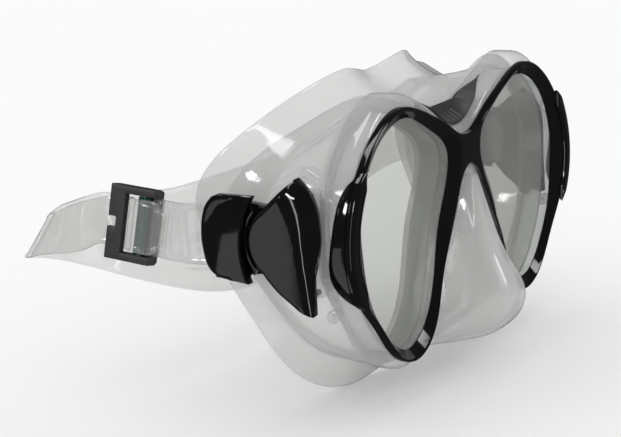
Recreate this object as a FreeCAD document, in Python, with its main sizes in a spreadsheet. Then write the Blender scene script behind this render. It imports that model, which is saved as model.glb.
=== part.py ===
import FreeCAD, Part
import math
import os
from FreeCAD import Placement, Rotation, Vector

# Twin-lens diving mask, worn upright: X to the wearer's left, Y backwards to the face, Z up.
# The origin is the middle of the nose bridge on the bezel's front face. All sizes are millimetres.

doc = FreeCAD.newDocument("diving_mask")

SIZES = {
    # front stack, as depths behind the bezel's front face
    "bezel_start": 0.0, "bezel_depth": 2.6, "bezel_bevel": 0.6, "lens_start": 2.7, "lens_depth": 3.0,
    "shell_start": 2.7, "shell_depth": 9.6, "gasket_start": 5.8, "gasket_depth": 6.5,
    "web_start": 12.4, "web_depth": 2.0, "skirt_wall": 2.0,
    # widths of the steps round each lens opening
    "lens_lap": 1.4, "seat_lap": 1.6, "clip_gap": 0.15, "clip_wall": 2.2,
    "clip_reach": 9.0, "clip_lap": 1.0, "gasket_bite": 0.3,
    # bridge grip
    "grip_start": 4.6, "grip_back": 12.3,
    # strap arms: distances out from the middle plane, along X
    "ear_inner": 75.2, "ear_depth": 1.6, "base_inner": 76.9, "base_depth": 4.3, "base_plate": 1.6,
    "neck_inner": 78.8, "neck_depth": 2.2, "cover_inner": 81.4, "cover_depth": 4.2,
    "cover_rim": 2.6,
    "cap_inner": 81.2, "cap_depth": 4.4, "cap_hollow": 1.5, "cap_bevel": 1.6,
    "pivot_y": 20.5, "pivot_z": -10.5, "pin_radius": 2.5, "eye_radius": 8.0, "pin_running_gap": 0.05,
    "pin_inner": 76.9, "pin_depth": 6.6, "cover_bore": 2.2,
    "screw_radius": 1.0, "screw_head_radius": 1.8, "screw_head_depth": 1.2, "screw_inner": 75.4,
    "screw_depth": 5.4,
    "strap_pin_x": 79.9, "strap_pin_y": 42.0, "strap_pin_radius": 1.2, "strap_pin_span": 24.6,
    "tine_inner": 77.4, "tine_depth": 5.0, "tine_room_depth": 1.25, "pin_eye_radius": 2.4,
    # slider
    "slider_x": -81.0, "slider_y": 75.5, "slider_z": -9.0, "slider_roll": 12.0, "slider_pitch": 5.0,
    "slider_tall": 23.0, "cheek": 2.4, "slab_depth": 2.2, "slab_front": 2.2, "slab_rear": 8.0,
    "slider_front": -8.5, "roller_y": -3.2, "roller_x": -0.2, "roller_radius": 1.9,
    "roller_bore": 0.95, "roller_pin_radius": 0.9, "bar_y": -7.4, "bar_x": 1.6, "bar_radius": 0.8,
    "bar_eye_radius": 1.7, "roller_length": 17.6, "roller_pin_length": 21.4,
    # strap
    "strap_wall": 1.5, "strap_width": 18.0, "link_wall": 1.6, "link_width": 18.6,
}

sheet = doc.addObject("Spreadsheet::Sheet", "sizes")
for row, (alias, number) in enumerate(SIZES.items(), start=1):
    sheet.set(f"A{row}", alias)
    sheet.set(f"B{row}", str(number))
    sheet.setAlias(f"B{row}", alias)
doc.recompute()


def size(alias):
    """A driving dimension, read from the sheet."""
    return float(sheet.get(alias))


def cell(alias):
    return f"sizes.{alias}"


# ---------------------------------------------------------------- outlines
# Front-view outlines (X, Z). The mask is symmetric, so each list covers the half with X >= 0.

BEZEL_HALF = [(0, 7.2), (6.5, 8.4), (13, 11.8), (30.7, 19.8), (45, 23.2), (60, 18), (73.5, 4.4), (79.1, -15),
              (76, -26), (64.7, -39.7), (52, -53), (40, -56), (29.5, -50), (22, -33.5),
              (15.1, -22), (9.6, -12.5), (5.4, -5.8), (0, -2.8)]
SHELL_HALF = [(0, 9.6), (6.5, 10.8), (13, 14.6), (29, 23.3), (44, 27), (60.5, 20.5), (73.6, 4.6), (79, -15),
              (75.9, -26.2), (64.8, -41), (53, -55.5), (40, -58.5), (28.6, -52), (21.5, -33.5),
              (14.8, -22), (9.2, -12.9), (5.1, -6.4), (0, -3.4)]
WEB_HALF = [(0, 14), (14, 17.5), (29, 22.5), (44, 25.5), (59, 20), (70, 6), (73.6, -14),
            (71, -28), (62, -42), (51, -55.5), (38, -59.5), (20, -61), (0, -61)]
# One lens opening, all round, for the side with X > 0.
APERTURE = [(70, -13), (66.5, 3.5), (55, 15.5), (40, 19.2), (24, 12.7), (12, 3), (15.5, -9.5),
            (20.5, -18.5), (24.2, -31), (32, -46.8), (44, -52), (58, -43.5), (67.5, -28)]

# Skirt lines as (X, Y, Z), half with X >= 0: root on the web, crease, and free edge on the face.
SKIRT_ROOT = [(0, 13.4, 13.6), (21, 13.4, 20), (43, 13.4, 25), (60, 13.4, 18), (71, 13.4, 3),
              (73, 13.4, -14), (70, 13.4, -29), (58, 13.4, -47), (42, 13.4, -58),
              (20, 13.4, -60.6), (0, 13.4, -60.6)]
SKIRT_CREASE = [(0, 24, 19.5), (22, 25, 22), (45, 26, 18.5), (61, 30, 12), (68.5, 36, 1),
                (70.5, 39, -15), (67.5, 36, -33), (57, 31, -48), (42, 24, -58.5), (20, 20, -62),
                (0, 18, -62)]
SKIRT_EDGE = [(0, 36, 27), (19, 33.5, 30), (42, 42, 23.5), (60, 45, 18), (66, 54.5, 9),
              (66.5, 62, -4), (64.5, 58, -22), (61, 48, -42), (53, 37, -62), (38, 31, -70),
              (18, 27, -69), (0, 24, -66)]

# Side-view outlines (Y, Z) of the strap arms.
POD_TOP, POD_BOTTOM = (16, 8.1), (13, -31.6)
POD_FRONT, POD_LOWER = (10.3, -11), (21.3, -26)
POD_REAR_RADIUS, POD_REAR_UP, POD_REAR_DOWN = 12.3, 57.0, -55.0
CAP_TOP, CAP_REAR_TOP, CAP_REAR = (31.4, 3.2), (43.2, 2.2), (50.6, -10.6)
CAP_REAR_BOTTOM, CAP_BOTTOM, CAP_FRONT = (45.6, -22.2), (33.6, -23), (36.4, -10.4)
CLIP_SIDE = [(-1, 9.5), (2.6, 5.5), (5.4, -0.5), (6.4, -8.5), (7.7, -18), (7.4, -22.5), (3.6, -28),
             (-1, -31.5)]
SCREW_SPOTS = [(15.2, 3.0), (14.4, -26.4)]
EAR = [(8, 2), (16, 5), (29, -3), (30, -10.5), (27, -19), (14, -28), (8, -24)]
POD_SEAT = ((9.8, -34), (14, 10))
TINES = [((37.5, -22.8), (45.5, -20.3)), ((37.5, -0.7), (45.5, 1.8))]
TINE_ROOMS = [((37.3, -23), (45.7, -20.1)), ((37.3, -0.9), (45.7, 2))]
STRAP_ROOM = ((37.3, -20.2), (60, -0.8))
# X of the two planes between which the clips' side shapes are cut.
TEMPLE_NEAR, TEMPLE_FAR = 66, 86

# Bridge grip sections (X, Z): the underside follows the clear frame's outline.
GRIP_UNDER = [(-24, 21.7), (-13, 15.5), (-6.5, 11.6), (0, 10.2), (6.5, 11.6), (13, 15.5),
              (24, 21.7)]
GRIP_FRONT = [(24.4, 22.7), (13.2, 16.6), (6.6, 12.8), (0, 11.4), (-6.6, 12.8), (-13.2, 16.6),
              (-24.4, 22.7)]
GRIP_BACK = [(24.4, 23), (13.4, 18.2), (0, 16.6), (-13.4, 18.2), (-24.4, 23)]


def mirrored(half):
    """The whole outline of a half: down the X > 0 side, then up the other."""
    other = [(-point[0], *point[1:]) for point in reversed(half)]
    return half + [point for point in other if point[0] != 0]


def grown(outline, distance):
    """The closed outline moved out by distance at each point."""
    moved = []
    area = sum(a[0] * b[1] - b[0] * a[1] for a, b in zip(outline, outline[1:] + outline[:1]))
    sense = 1 if area > 0 else -1
    for k, (x, z) in enumerate(outline):
        ahead, behind = outline[(k + 1) % len(outline)], outline[k - 1]
        dx, dz = ahead[0] - behind[0], ahead[1] - behind[1]
        length = math.hypot(dx, dz)
        moved.append((x + sense * distance * dz / length, z - sense * distance * dx / length))
    return moved


def closed_curve(points):
    curve = Part.BSplineCurve()
    curve.interpolate([Vector(*p) if len(p) == 3 else Vector(p[0], p[1], 0) for p in points],
                      PeriodicFlag=True)
    return curve


def polar(centre, radius, degrees):
    angle = math.radians(degrees)
    return centre[0] + radius * math.cos(angle), centre[1] + radius * math.sin(angle)


def arc(a, b, c):
    return Part.Arc(*[Vector(p[0], p[1], 0) for p in (a, b, c)])


def line(a, b):
    return Part.LineSegment(Vector(a[0], a[1], 0), Vector(b[0], b[1], 0))


def circle(centre, radius):
    return Part.Circle(Vector(centre[0], centre[1], 0), Vector(0, 0, 1), radius)


def rectangle(low, high):
    corners = [low, (high[0], low[1]), high, (low[0], high[1])]
    return [line(a, b) for a, b in zip(corners, corners[1:] + corners[:1])]


# ---------------------------------------------------------------- PartDesign helpers
# A front sketch lies in XZ and its features run back along +Y.
# A side sketch lies in YZ and its features run out from the middle plane.

def make_body(label):
    body = doc.addObject("PartDesign::Body", label)
    body.Label = label
    return body


def make_sketch(body, role, name, curves, start):
    """A sketch on the body's own plane, start away from it; start is an expression."""
    sketch = body.newObject("Sketcher::SketchObject", f"{body.Label}_{name}")
    plane = next(f for f in body.Origin.OriginFeatures if f.Role == role)
    sketch.AttachmentSupport = (plane, [""])
    sketch.MapMode = "FlatFace"
    sketch.addGeometry(curves, False)
    sketch.setExpression("AttachmentOffset.Base.z", start)
    return sketch


def add_feature(body, kind, name, sketch, depth, backwards):
    feature = body.newObject(f"PartDesign::{kind}", f"{body.Label}_{name}")
    feature.Profile = sketch
    feature.setExpression("Length", depth)
    feature.Reversed = backwards
    sketch.Visibility = False
    doc.recompute()
    return feature


def front_pad(body, name, curves, start, depth):
    sketch = make_sketch(body, "XZ_Plane", name + "_sketch", curves, f"-{cell(start)}")
    return add_feature(body, "Pad", name, sketch, cell(depth), True)


def side_pad(body, side, name, curves, start, depth):
    sign = "" if side > 0 else "-"
    sketch = make_sketch(body, "YZ_Plane", name + "_sketch", curves, f"{sign}({start})")
    return add_feature(body, "Pad", name, sketch, depth, side < 0)


def side_pocket(body, side, name, curves, start, depth):
    """Cuts outwards from start."""
    sign = "" if side > 0 else "-"
    sketch = make_sketch(body, "YZ_Plane", name + "_sketch", curves, f"{sign}({start})")
    return cut_feature(body, name, sketch, depth, side > 0)


def cut_feature(body, name, sketch, depth, backwards):
    before = body.Shape.Volume
    feature = add_feature(body, "Pocket", name, sketch, depth, backwards)
    if body.Shape.Volume >= before - 0.01:
        raise ValueError(f"{body.Label}: {name} cuts nothing")
    return feature


# ---------------------------------------------------------------- mask body
def lens_opening(side, growth=0.0):
    outline = grown(APERTURE, growth) if growth else APERTURE
    return closed_curve([(side * x, z) for x, z in outline])


def front_bezel():
    body = make_body("front_bezel")
    curves = [closed_curve(mirrored(BEZEL_HALF)), lens_opening(1), lens_opening(-1)]
    plate = front_pad(body, "plate", curves, "bezel_start", "bezel_depth")
    bevel = body.newObject("PartDesign::Chamfer", "front_bezel_bevel")
    front_edges = [f"Edge{k}" for k, edge in enumerate(plate.Shape.Edges, start=1)
                   if edge.BoundBox.YMax < 0.01]
    bevel.Base = (plate, front_edges)
    bevel.setExpression("Size", cell("bezel_bevel"))
    doc.recompute()
    return body


def lens(label, side):
    body = make_body(label)
    front_pad(body, "glass", [lens_opening(side, size("lens_lap"))], "lens_start", "lens_depth")
    return body


def pod_outline(inset=0.0):
    """Teardrop with a round rear about the pivot; an inset one lies inside by that much."""
    pivot = (size("pivot_y"), size("pivot_z"))
    radius = POD_REAR_RADIUS - inset
    tip_inset = 2.6 * inset
    top = (POD_TOP[0] + 0.2 * inset, POD_TOP[1] - tip_inset)
    bottom = (POD_BOTTOM[0] + 0.6 * inset, POD_BOTTOM[1] + tip_inset)
    front = (POD_FRONT[0] + inset, POD_FRONT[1])
    lower = (POD_LOWER[0] - 0.6 * inset, POD_LOWER[1] + 0.8 * inset)
    up, rear = polar(pivot, radius, POD_REAR_UP), polar(pivot, radius, 0)
    down = polar(pivot, radius, POD_REAR_DOWN)
    return [line(top, up), arc(up, rear, down), arc(down, lower, bottom), arc(bottom, front, top)]


def clear_frame():
    """Rigid clear ring round both lenses, with an ear at each temple that carries the pod."""
    body = make_body("clear_frame")
    seats = [lens_opening(side, size("seat_lap")) for side in (1, -1)]
    curves = [closed_curve(mirrored(SHELL_HALF)), *seats]
    front_pad(body, "ring", curves, "shell_start", "shell_depth")
    for side, name in ((1, "left"), (-1, "right")):
        outline = [line(a, b) for a, b in zip(EAR, EAR[1:] + EAR[:1])]
        outline += [circle(spot, size("screw_radius")) for spot in SCREW_SPOTS]
        side_pad(body, side, f"{name}_ear", outline, cell("ear_inner"), cell("ear_depth"))
        side_pocket(body, side, f"{name}_pod_seat", rectangle(*POD_SEAT),
                    f"{cell('base_inner')} - {cell('pin_running_gap')}", cell("eye_radius"))
    return body


def side_clip(side):
    """Wedge that hooks over the bezel's temple: a crescent round the rim, cut to its side shape."""
    rim = mirrored(BEZEL_HALF)
    gap, wall = size("clip_gap"), size("clip_wall")
    outer = Part.Face(Part.Wire(closed_curve(grown(rim, gap + wall)).toShape()))
    inner = Part.Face(Part.Wire(closed_curve(grown(rim, gap)).toShape()))
    ring = outer.cut(inner).extrude(Vector(0, 0, -size("clip_reach")))
    ring.Placement = Placement(Vector(0, -size("clip_lap"), 0), Rotation(Vector(1, 0, 0), 90))
    curve = Part.BSplineCurve()
    near = side * TEMPLE_NEAR
    curve.interpolate([Vector(near, y, z) for y, z in CLIP_SIDE])
    closing = Part.LineSegment(Vector(near, *CLIP_SIDE[-1]), Vector(near, *CLIP_SIDE[0]))
    profile = Part.Face(Part.Wire([curve.toShape(), closing.toShape()]))
    return ring.common(profile.extrude(Vector(side * (TEMPLE_FAR - TEMPLE_NEAR), 0, 0)))


def grip_section(body, name, over, start):
    curves = []
    for points in (GRIP_UNDER, over):
        curve = Part.BSplineCurve()
        curve.interpolate([Vector(x, z, 0) for x, z in points])
        curves.append(curve)
    curves += [line(GRIP_UNDER[-1], over[0]), line(over[-1], GRIP_UNDER[0])]
    return make_sketch(body, "XZ_Plane", name, curves, f"-{cell(start)}")


def bridge_grip():
    """Scoop over the bridge: thin in front, thick behind, between the brows of the clear frame."""
    body = make_body("bridge_grip")
    front = grip_section(body, "front", GRIP_FRONT, "grip_start")
    back = grip_section(body, "back", GRIP_BACK, "grip_back")
    loft = body.newObject("PartDesign::AdditiveLoft", "bridge_grip_scoop")
    loft.Profile = front
    loft.Sections = [back]
    loft.Ruled = True
    doc.recompute()
    return body


# ---------------------------------------------------------------- skirt and nose pocket
def offset_lines(lines, distance):
    """Each skirt line moved inwards by distance, square to the wall at each point."""
    moved = []
    for k, points in enumerate(lines):
        across = lines[k + 1] if k + 1 < len(lines) else lines[k - 1]
        flip = 1 if k + 1 < len(lines) else -1
        inner = []
        for n, point in enumerate(points):
            here = Vector(*point)
            along = Vector(*points[(n + 1) % len(points)]) - Vector(*points[n - 1])
            nearest = min(across, key=lambda q: (Vector(*q) - here).Length)
            normal = along.cross((Vector(*nearest) - here) * flip).normalize()
            if k == 0:
                normal = Vector(normal.x, 0, normal.z).normalize()
            towards_axis = Vector(-here.x, 0, -20 - here.z)
            if normal.dot(towards_axis) < 0:
                normal = normal * -1
            inner.append(tuple(here + normal * distance))
        moved.append(inner)
    return moved


def skirt_wall(lines, distance):
    """Closed solid between the outer lines and the same lines moved inwards."""
    outer = [Part.Wire(closed_curve(points).toShape()) for points in lines]
    inner = [Part.Wire(closed_curve(points).toShape()) for points in offset_lines(lines, distance)]
    faces = Part.makeLoft(outer, False, False).Faces + Part.makeLoft(inner, False, False).Faces
    for k in (0, -1):
        faces += Part.makeRuledSurface(outer[k].Edges[0], inner[k].Edges[0]).Faces
    shell = Part.Shell(Part.makeCompound(faces).Faces)
    shell.sewShape()
    solid = Part.Solid(Part.Shell(shell.Faces))
    if solid.Volume < 0:
        solid.reverse()
    return solid


# Nose pocket, as levels of (Z, half width at the back, half width in front, Y of the front).
POCKET_LEVELS = [(-6.5, 2.3, 1.4, -2.0), (-20, 12.3, 3.6, -5.6), (-34, 20, 6.2, -10.4),
                 (-48, 26.2, 8.6, -15.2), (-56, 26, 8.2, -10.5), (-60, 22, 7, 4)]


def pocket_solid(inset, back):
    wires = []
    for z, half_back, half_front, front in POCKET_LEVELS:
        rear = max(half_back - inset, 0.5)
        face = max(half_front - inset * 0.6, 0.3)
        corners = [(-rear, back, z), (-face, front + inset, z), (face, front + inset, z),
                   (rear, back, z)]
        wires.append(Part.makePolygon([Vector(*c) for c in corners + corners[:1]]))
    return Part.makeLoft(wires, True, True)


def nose_pocket():
    back = size("web_start")
    outer = pocket_solid(0, back)
    inner = pocket_solid(size("skirt_wall"), back + 1)
    inner.translate(Vector(0, 0, size("skirt_wall")))
    return outer.cut(inner)


def extruded_front(curves, start, depth):
    """Plate in the XZ plane between start and start + depth behind the front face."""
    wires = [Part.Wire(curve.toShape()) for curve in curves]
    plate = Part.Face(wires[0])
    for wire in wires[1:]:
        plate = plate.cut(Part.Face(wire))
    solid = plate.extrude(Vector(0, 0, -depth))
    solid.Placement = Placement(Vector(0, start, 0), Rotation(Vector(1, 0, 0), 90))
    return solid


def skirt():
    """Clear silicone: gaskets behind the lenses, a web, and the wall that reaches the face."""
    web = extruded_front([closed_curve(mirrored(WEB_HALF)), lens_opening(1), lens_opening(-1)],
                         size("web_start"), size("web_depth"))
    nose_hole = pocket_solid(size("skirt_wall"), size("web_start") + size("web_depth") + 1)
    nose_hole.translate(Vector(0, 0, size("skirt_wall")))
    solid = web.cut(nose_hole)
    lines = [mirrored(points) for points in (SKIRT_ROOT, SKIRT_CREASE, SKIRT_EDGE)]
    solid = solid.fuse(skirt_wall(lines, size("skirt_wall")))
    for side in (1, -1):
        gasket = extruded_front([lens_opening(side, size("lens_lap")), lens_opening(side)],
                                size("gasket_start"), size("gasket_depth") + size("gasket_bite"))
        solid = solid.fuse(gasket)
    return solid.removeSplitter()


# ---------------------------------------------------------------- strap arms
def pod_base(label, side):
    body = make_body(label)
    side_pad(body, side, "block", pod_outline(), cell("base_inner"), cell("base_depth"))
    pivot = (size("pivot_y"), size("pivot_z"))
    eye_room, wall_angle = size("eye_radius") + 0.5, 116
    high, low = polar(pivot, eye_room, wall_angle), polar(pivot, eye_room, -wall_angle)
    sweep = [arc(high, polar(pivot, eye_room, 180), low), line(low, (low[0], -40)),
             line((low[0], -40), (40, -40)), line((40, -40), (40, 20)),
             line((40, 20), (high[0], 20)), line((high[0], 20), high)]
    side_pocket(body, side, "swing_room", sweep,
                f"{cell('base_inner')} + {cell('base_plate')}", cell("base_depth"))
    side_pocket(body, side, "pin_hole", [circle(pivot, size("pin_radius"))],
                cell("base_inner"), cell("base_depth"))
    side_pocket(body, side, "screw_holes", [circle(p, size("screw_radius")) for p in SCREW_SPOTS],
                cell("base_inner"), cell("base_depth"))
    head_start = f"{cell('screw_inner')} + {cell('screw_depth')} - {cell('screw_head_depth')}"
    side_pocket(body, side, "head_holes",
                [circle(p, size("screw_head_radius")) for p in SCREW_SPOTS], head_start, "3")
    return body


def pod_cover(label, side):
    """Teardrop cover in two steps, with a socket for the pin's end."""
    body = make_body(label)
    side_pad(body, side, "rim", pod_outline(), cell("cover_inner"), cell("cover_rim"))
    side_pad(body, side, "crown", pod_outline(1.5), f"{cell('cover_inner')} + {cell('cover_rim')}",
             f"{cell('cover_depth')} - {cell('cover_rim')}")
    pivot = (size("pivot_y"), size("pivot_z"))
    side_pocket(body, side, "pin_socket", [circle(pivot, size("pin_radius"))],
                cell("cover_inner"), cell("cover_bore"))
    return body


def swivel_neck(label, side):
    """Plate that turns on the pin; its two tines hold the strap pin."""
    body = make_body(label)
    pivot = (size("pivot_y"), size("pivot_z"))
    eye = size("eye_radius")
    top, bottom = (pivot[0], pivot[1] + eye), (pivot[0], pivot[1] - eye)
    outline = [arc(top, (pivot[0] - eye, pivot[1]), bottom), line(bottom, (28, -20.6)),
               line((28, -20.6), (39, -21.8)), line((39, -21.8), (39, 1.2)),
               line((39, 1.2), (28, 0)), line((28, 0), top)]
    side_pad(body, side, "plate", outline, cell("neck_inner"), cell("neck_depth"))
    tines = rectangle(*TINES[0]) + rectangle(*TINES[1])
    side_pad(body, side, "tines", tines, cell("tine_inner"), cell("tine_depth"))
    side_pocket(body, side, "pin_hole",
                [circle(pivot, size("pin_radius") + size("pin_running_gap"))],
                cell("tine_inner"), cell("pin_depth"))
    sketch = make_sketch(body, "XY_Plane", "strap_pin_sketch",
                         [circle((side * size("strap_pin_x"), size("strap_pin_y")),
                                 size("strap_pin_radius"))], f"-{cell('strap_pin_span')}")
    cut_feature(body, "strap_pin_hole", sketch, f"2 * {cell('strap_pin_span')}", True)
    return body


def buckle_cap(label, side):
    """Half-round shell over the strap pin, open to the rear for the strap."""
    body = make_body(label)
    outline = [line(CAP_TOP, CAP_REAR_TOP), arc(CAP_REAR_TOP, CAP_REAR, CAP_REAR_BOTTOM),
               line(CAP_REAR_BOTTOM, CAP_BOTTOM), arc(CAP_BOTTOM, CAP_FRONT, CAP_TOP)]
    pad = side_pad(body, side, "shell", outline, cell("cap_inner"), cell("cap_depth"))
    outer_x = side * (size("cap_inner") + size("cap_depth"))
    names = [f"Edge{k}" for k, e in enumerate(pad.Shape.Edges, start=1)
             if abs(e.BoundBox.XMin - outer_x) < 0.01 and abs(e.BoundBox.XMax - outer_x) < 0.01]
    bevel = body.newObject("PartDesign::Chamfer", f"{label}_bevel")
    bevel.Base = (pad, names)
    bevel.setExpression("Size", cell("cap_bevel"))
    doc.recompute()
    side_pocket(body, side, "strap_room", rectangle(*STRAP_ROOM), cell("cap_inner"),
                cell("cap_hollow"))
    rooms = rectangle(*TINE_ROOMS[0]) + rectangle(*TINE_ROOMS[1])
    side_pocket(body, side, "tine_room", rooms, cell("cap_inner"), cell("tine_room_depth"))
    return body


def side_cylinder(label, side, centre, radius, inner, depth):
    """Round pin along X, with its inner end inner away from the middle plane."""
    pin = doc.addObject("Part::Cylinder", label)
    pin.Label = label
    pin.setExpression("Radius", radius)
    pin.setExpression("Height", depth)
    pin.Placement = Placement(Vector(side * inner, *centre), Rotation(Vector(0, 1, 0), side * 90))
    return pin


def pod_screws(side):
    """Two pan-head screws as one group of solids."""
    solids = []
    out = Vector(side, 0, 0)
    for y, z in SCREW_SPOTS:
        start = Vector(side * size("screw_inner"), y, z)
        shank = Part.makeCylinder(size("screw_radius"), size("screw_depth"), start, out)
        head_at = start + out * (size("screw_depth") - size("screw_head_depth"))
        head = Part.makeCylinder(size("screw_head_radius"), size("screw_head_depth"), head_at, out)
        slot_at = start + out * (size("screw_depth") - 0.5)
        slot = Part.makeBox(1.2, 0.5, 2.6, slot_at + Vector(-0.6, -0.25, -1.3))
        slot.translate(out * 0.6)
        solids.append(shank.fuse(head).cut(slot))
    return Part.makeCompound(solids)


def strap_pin(label, side):
    pin = doc.addObject("Part::Cylinder", label)
    pin.Label = label
    pin.setExpression("Radius", cell("strap_pin_radius"))
    pin.setExpression("Height", cell("strap_pin_span"))
    low = size("pivot_z") - size("strap_pin_span") / 2
    pin.Placement = Placement(Vector(side * size("strap_pin_x"), size("strap_pin_y"), low),
                              Rotation())
    return pin


# ---------------------------------------------------------------- slider, on its own tilted axes
def slider_place():
    tilt = Rotation(Vector(0, 1, 0), size("slider_roll"))
    pitch = Rotation(Vector(1, 0, 0), size("slider_pitch"))
    return Placement(Vector(size("slider_x"), size("slider_y"), size("slider_z")),
                     tilt.multiply(pitch))


def slider_frame():
    """Two cheeks, a notched slab outside, a floor under the roller and a bar for the link."""
    tall, cheek = size("slider_tall"), size("cheek")
    front, rear = size("slider_front"), size("slab_rear")
    half = tall / 2
    solids = [Part.makeBox(4.9, rear - front, cheek, Vector(-3, front, z))
              for z in (-half, half - cheek)]
    slab = Part.makeBox(size("slab_depth"), rear - size("slab_front"), tall,
                        Vector(-3, size("slab_front"), -half))
    slab = slab.cut(Part.makeBox(9, 3.2, 3, Vector(-6, rear - 3.2, -1.5)))
    foot = Part.makeBox(0.8, 2.5, tall, Vector(1.1, rear - 2.5, -half))
    floor = Part.makeBox(0.6, 4.4, tall, Vector(2, -5.4, -half))
    joins = [Part.makeBox(0.3, 4.4, cheek, Vector(1.8, -5.4, z)) for z in (-half, half - cheek)]
    bar = Part.makeCylinder(size("bar_radius"), tall - 1,
                            Vector(size("bar_x"), size("bar_y"), -half + 0.5), Vector(0, 0, 1))
    frame = solids[0].multiFuse([solids[1], slab, bar, foot, floor, *joins])
    bore = Part.makeCylinder(size("roller_pin_radius"), tall - 1.6,
                             Vector(size("roller_x"), size("roller_y"), -half + 0.8),
                             Vector(0, 0, 1))
    return frame.cut(bore).removeSplitter()


def slider_rod(label, radius, length, bore=None):
    rod = doc.addObject("Part::Cylinder", label + "_rod" if bore else label)
    rod.setExpression("Radius", radius)
    rod.Height = length
    rod.Placement = Placement(Vector(size("roller_x"), size("roller_y"), -length / 2), Rotation())
    result = rod
    if bore:
        hole = doc.addObject("Part::Cylinder", label + "_bore")
        hole.setExpression("Radius", bore)
        hole.Height = length + 2
        hole.Placement = Placement(Vector(size("roller_x"), size("roller_y"), -length / 2 - 1),
                                   Rotation())
        result = doc.addObject("Part::Cut", label)
        result.Base, result.Tool = rod, hole
    result.Label = label
    result.Placement = slider_place().multiply(result.Placement)
    return result


# ---------------------------------------------------------------- link and strap
def band_sections(path, wall, place=Placement()):
    """Cross-sections of a flat band, square to its path of (x, y, low z, high z, lean).

    A section with a lean has its low edge that far behind its middle, and its high edge before it.
    """
    sections = []
    for k, (x, y, low, high, lean) in enumerate(path):
        behind, ahead = path[max(k - 1, 0)], path[min(k + 1, len(path) - 1)]
        dx, dy = ahead[0] - behind[0], ahead[1] - behind[1]
        nx, ny = [part / math.hypot(dx, dy) * wall / 2 for part in (dy, -dx)]
        rear, fore = y + lean, y - lean
        corners = [(x + nx, rear + ny, low), (x - nx, rear - ny, low), (x - nx, fore - ny, high),
                   (x + nx, fore + ny, high)]
        sections.append([place.multVec(Vector(*c)) for c in corners])
    return sections


def ribbon(sections):
    return Part.makeLoft([Part.makePolygon(c + c[:1]) for c in sections], True, True)


def eye_of(centre, outer, bore, low, high):
    tall = high - low
    ring = Part.makeCylinder(outer, tall, Vector(centre[0], centre[1], low))
    return ring, Part.makeCylinder(bore, tall + 2, Vector(centre[0], centre[1], low - 1))


# The link's band: behind the cap as (X, Y), then on the slider's own axes as (x, y).
LINK_PATH = [(-80.4, 43.2), (-80.8, 50), (-81, 57)]
LINK_END = [(0.9, -12.6), (1.5, -10), (1.6, -8.2)]
# Strap behind the slider and round the head, right to left, as (X, Y, middle Z, width, lean).
STRAP_PATH = [(-80.6, 93, -9.6, 17.4, 1.4), (-80.2, 102, -12.3, 17.6, 2.6),
              (-79.4, 110, -14.2, 16.6, 4.3), (-77.6, 116, -16.6, 16, 5.8),
              (-74.6, 118.3, -17.6, 16, 6.4), (-71.6, 116, -17.4, 17.5, 5.8),
              (-69.4, 110, -17, 20, 4), (-66.6, 101, -17.4, 24, 1.8), (-60.5, 92, -19, 29, 0.4),
              (-50, 85.6, -22, 33, 0), (-36, 82.4, -24.6, 38, 0), (-18, 80.8, -26.6, 42, 0),
              (0, 80.4, -27.4, 43, 0), (18, 80.8, -26.6, 42, 0), (36, 82.2, -24.4, 38, 0),
              (52, 83.6, -21.4, 33, 0), (66, 82.6, -18.4, 28, 0), (76, 78.6, -15.6, 23.5, 0),
              (81.6, 71.6, -13, 20.5, 0), (82.6, 62, -11.2, 19, 0), (81.2, 51, -10.5, 18.6, 0),
              (80.4, 43.2, -10.5, 18.6, 0)]
# Free end through the slider, on the slider's own axes, as (x, y).
STRAP_END = [(-2.3, -13), (-3.1, -9), (-3.4, -5.4), (-3.3, -2.8), (-2.6, -0.6), (-1.2, 0.4),
             (0, 1.6), (0.3, 4), (0.2, 8), (0.2, 12)]


def strap_link():
    """Short tab from the cap's pin to the slider's bar."""
    half, wall = size("link_width") / 2, size("link_wall")
    low, high = size("pivot_z") - half, size("pivot_z") + half
    half_rear = size("slider_tall") / 2 - size("cheek") - 0.3
    front = band_sections([(x, y, low, high, 0) for x, y in LINK_PATH], wall)
    rear = band_sections([(x, y, -half_rear, half_rear, 0) for x, y in LINK_END], wall,
                         slider_place())
    pin_at = (-size("strap_pin_x"), size("strap_pin_y"))
    ring, bore = eye_of(pin_at, size("pin_eye_radius"), size("strap_pin_radius"), low, high)
    rear_ring, rear_bore = eye_of((size("bar_x"), size("bar_y")), size("bar_eye_radius"),
                                  size("bar_radius"), -half_rear, half_rear)
    for shape in (rear_ring, rear_bore):
        shape.Placement = slider_place().multiply(shape.Placement)
    return ribbon(front + rear).multiFuse([ring, rear_ring]).cut(bore).cut(rear_bore)


def strap():
    """Free end, slider, tail, bend behind, wide rear pad and the left pin's eye."""
    half, wall = 0.9 * size("strap_width") / 2, size("strap_wall")
    end = [(x, y, -half, half, 0) for x, y in STRAP_END]
    tip_x, tip_y = STRAP_END[0]
    end[0] = (tip_x, tip_y, -half / 2, half / 2, 0)
    round_head = [(x, y, middle - width / 2, middle + width / 2, lean)
                  for x, y, middle, width, lean in STRAP_PATH]
    whole = ribbon(band_sections(end, wall, slider_place()) + band_sections(round_head, wall))
    span = size("link_width") / 2
    loose_bore = size("strap_pin_radius") + size("pin_running_gap")
    ring, bore = eye_of((size("strap_pin_x"), size("strap_pin_y")), size("pin_eye_radius"),
                        loose_bore, size("pivot_z") - span, size("pivot_z") + span)
    return whole.fuse(ring).cut(bore)


def shape_feature(label, shape, place=None):
    """A document object for a shape that neither a body nor a primitive can describe."""
    feature = doc.addObject("Part::Feature", label)
    feature.Label = label
    feature.Shape = shape
    if place:
        feature.Placement = place
    return feature


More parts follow.
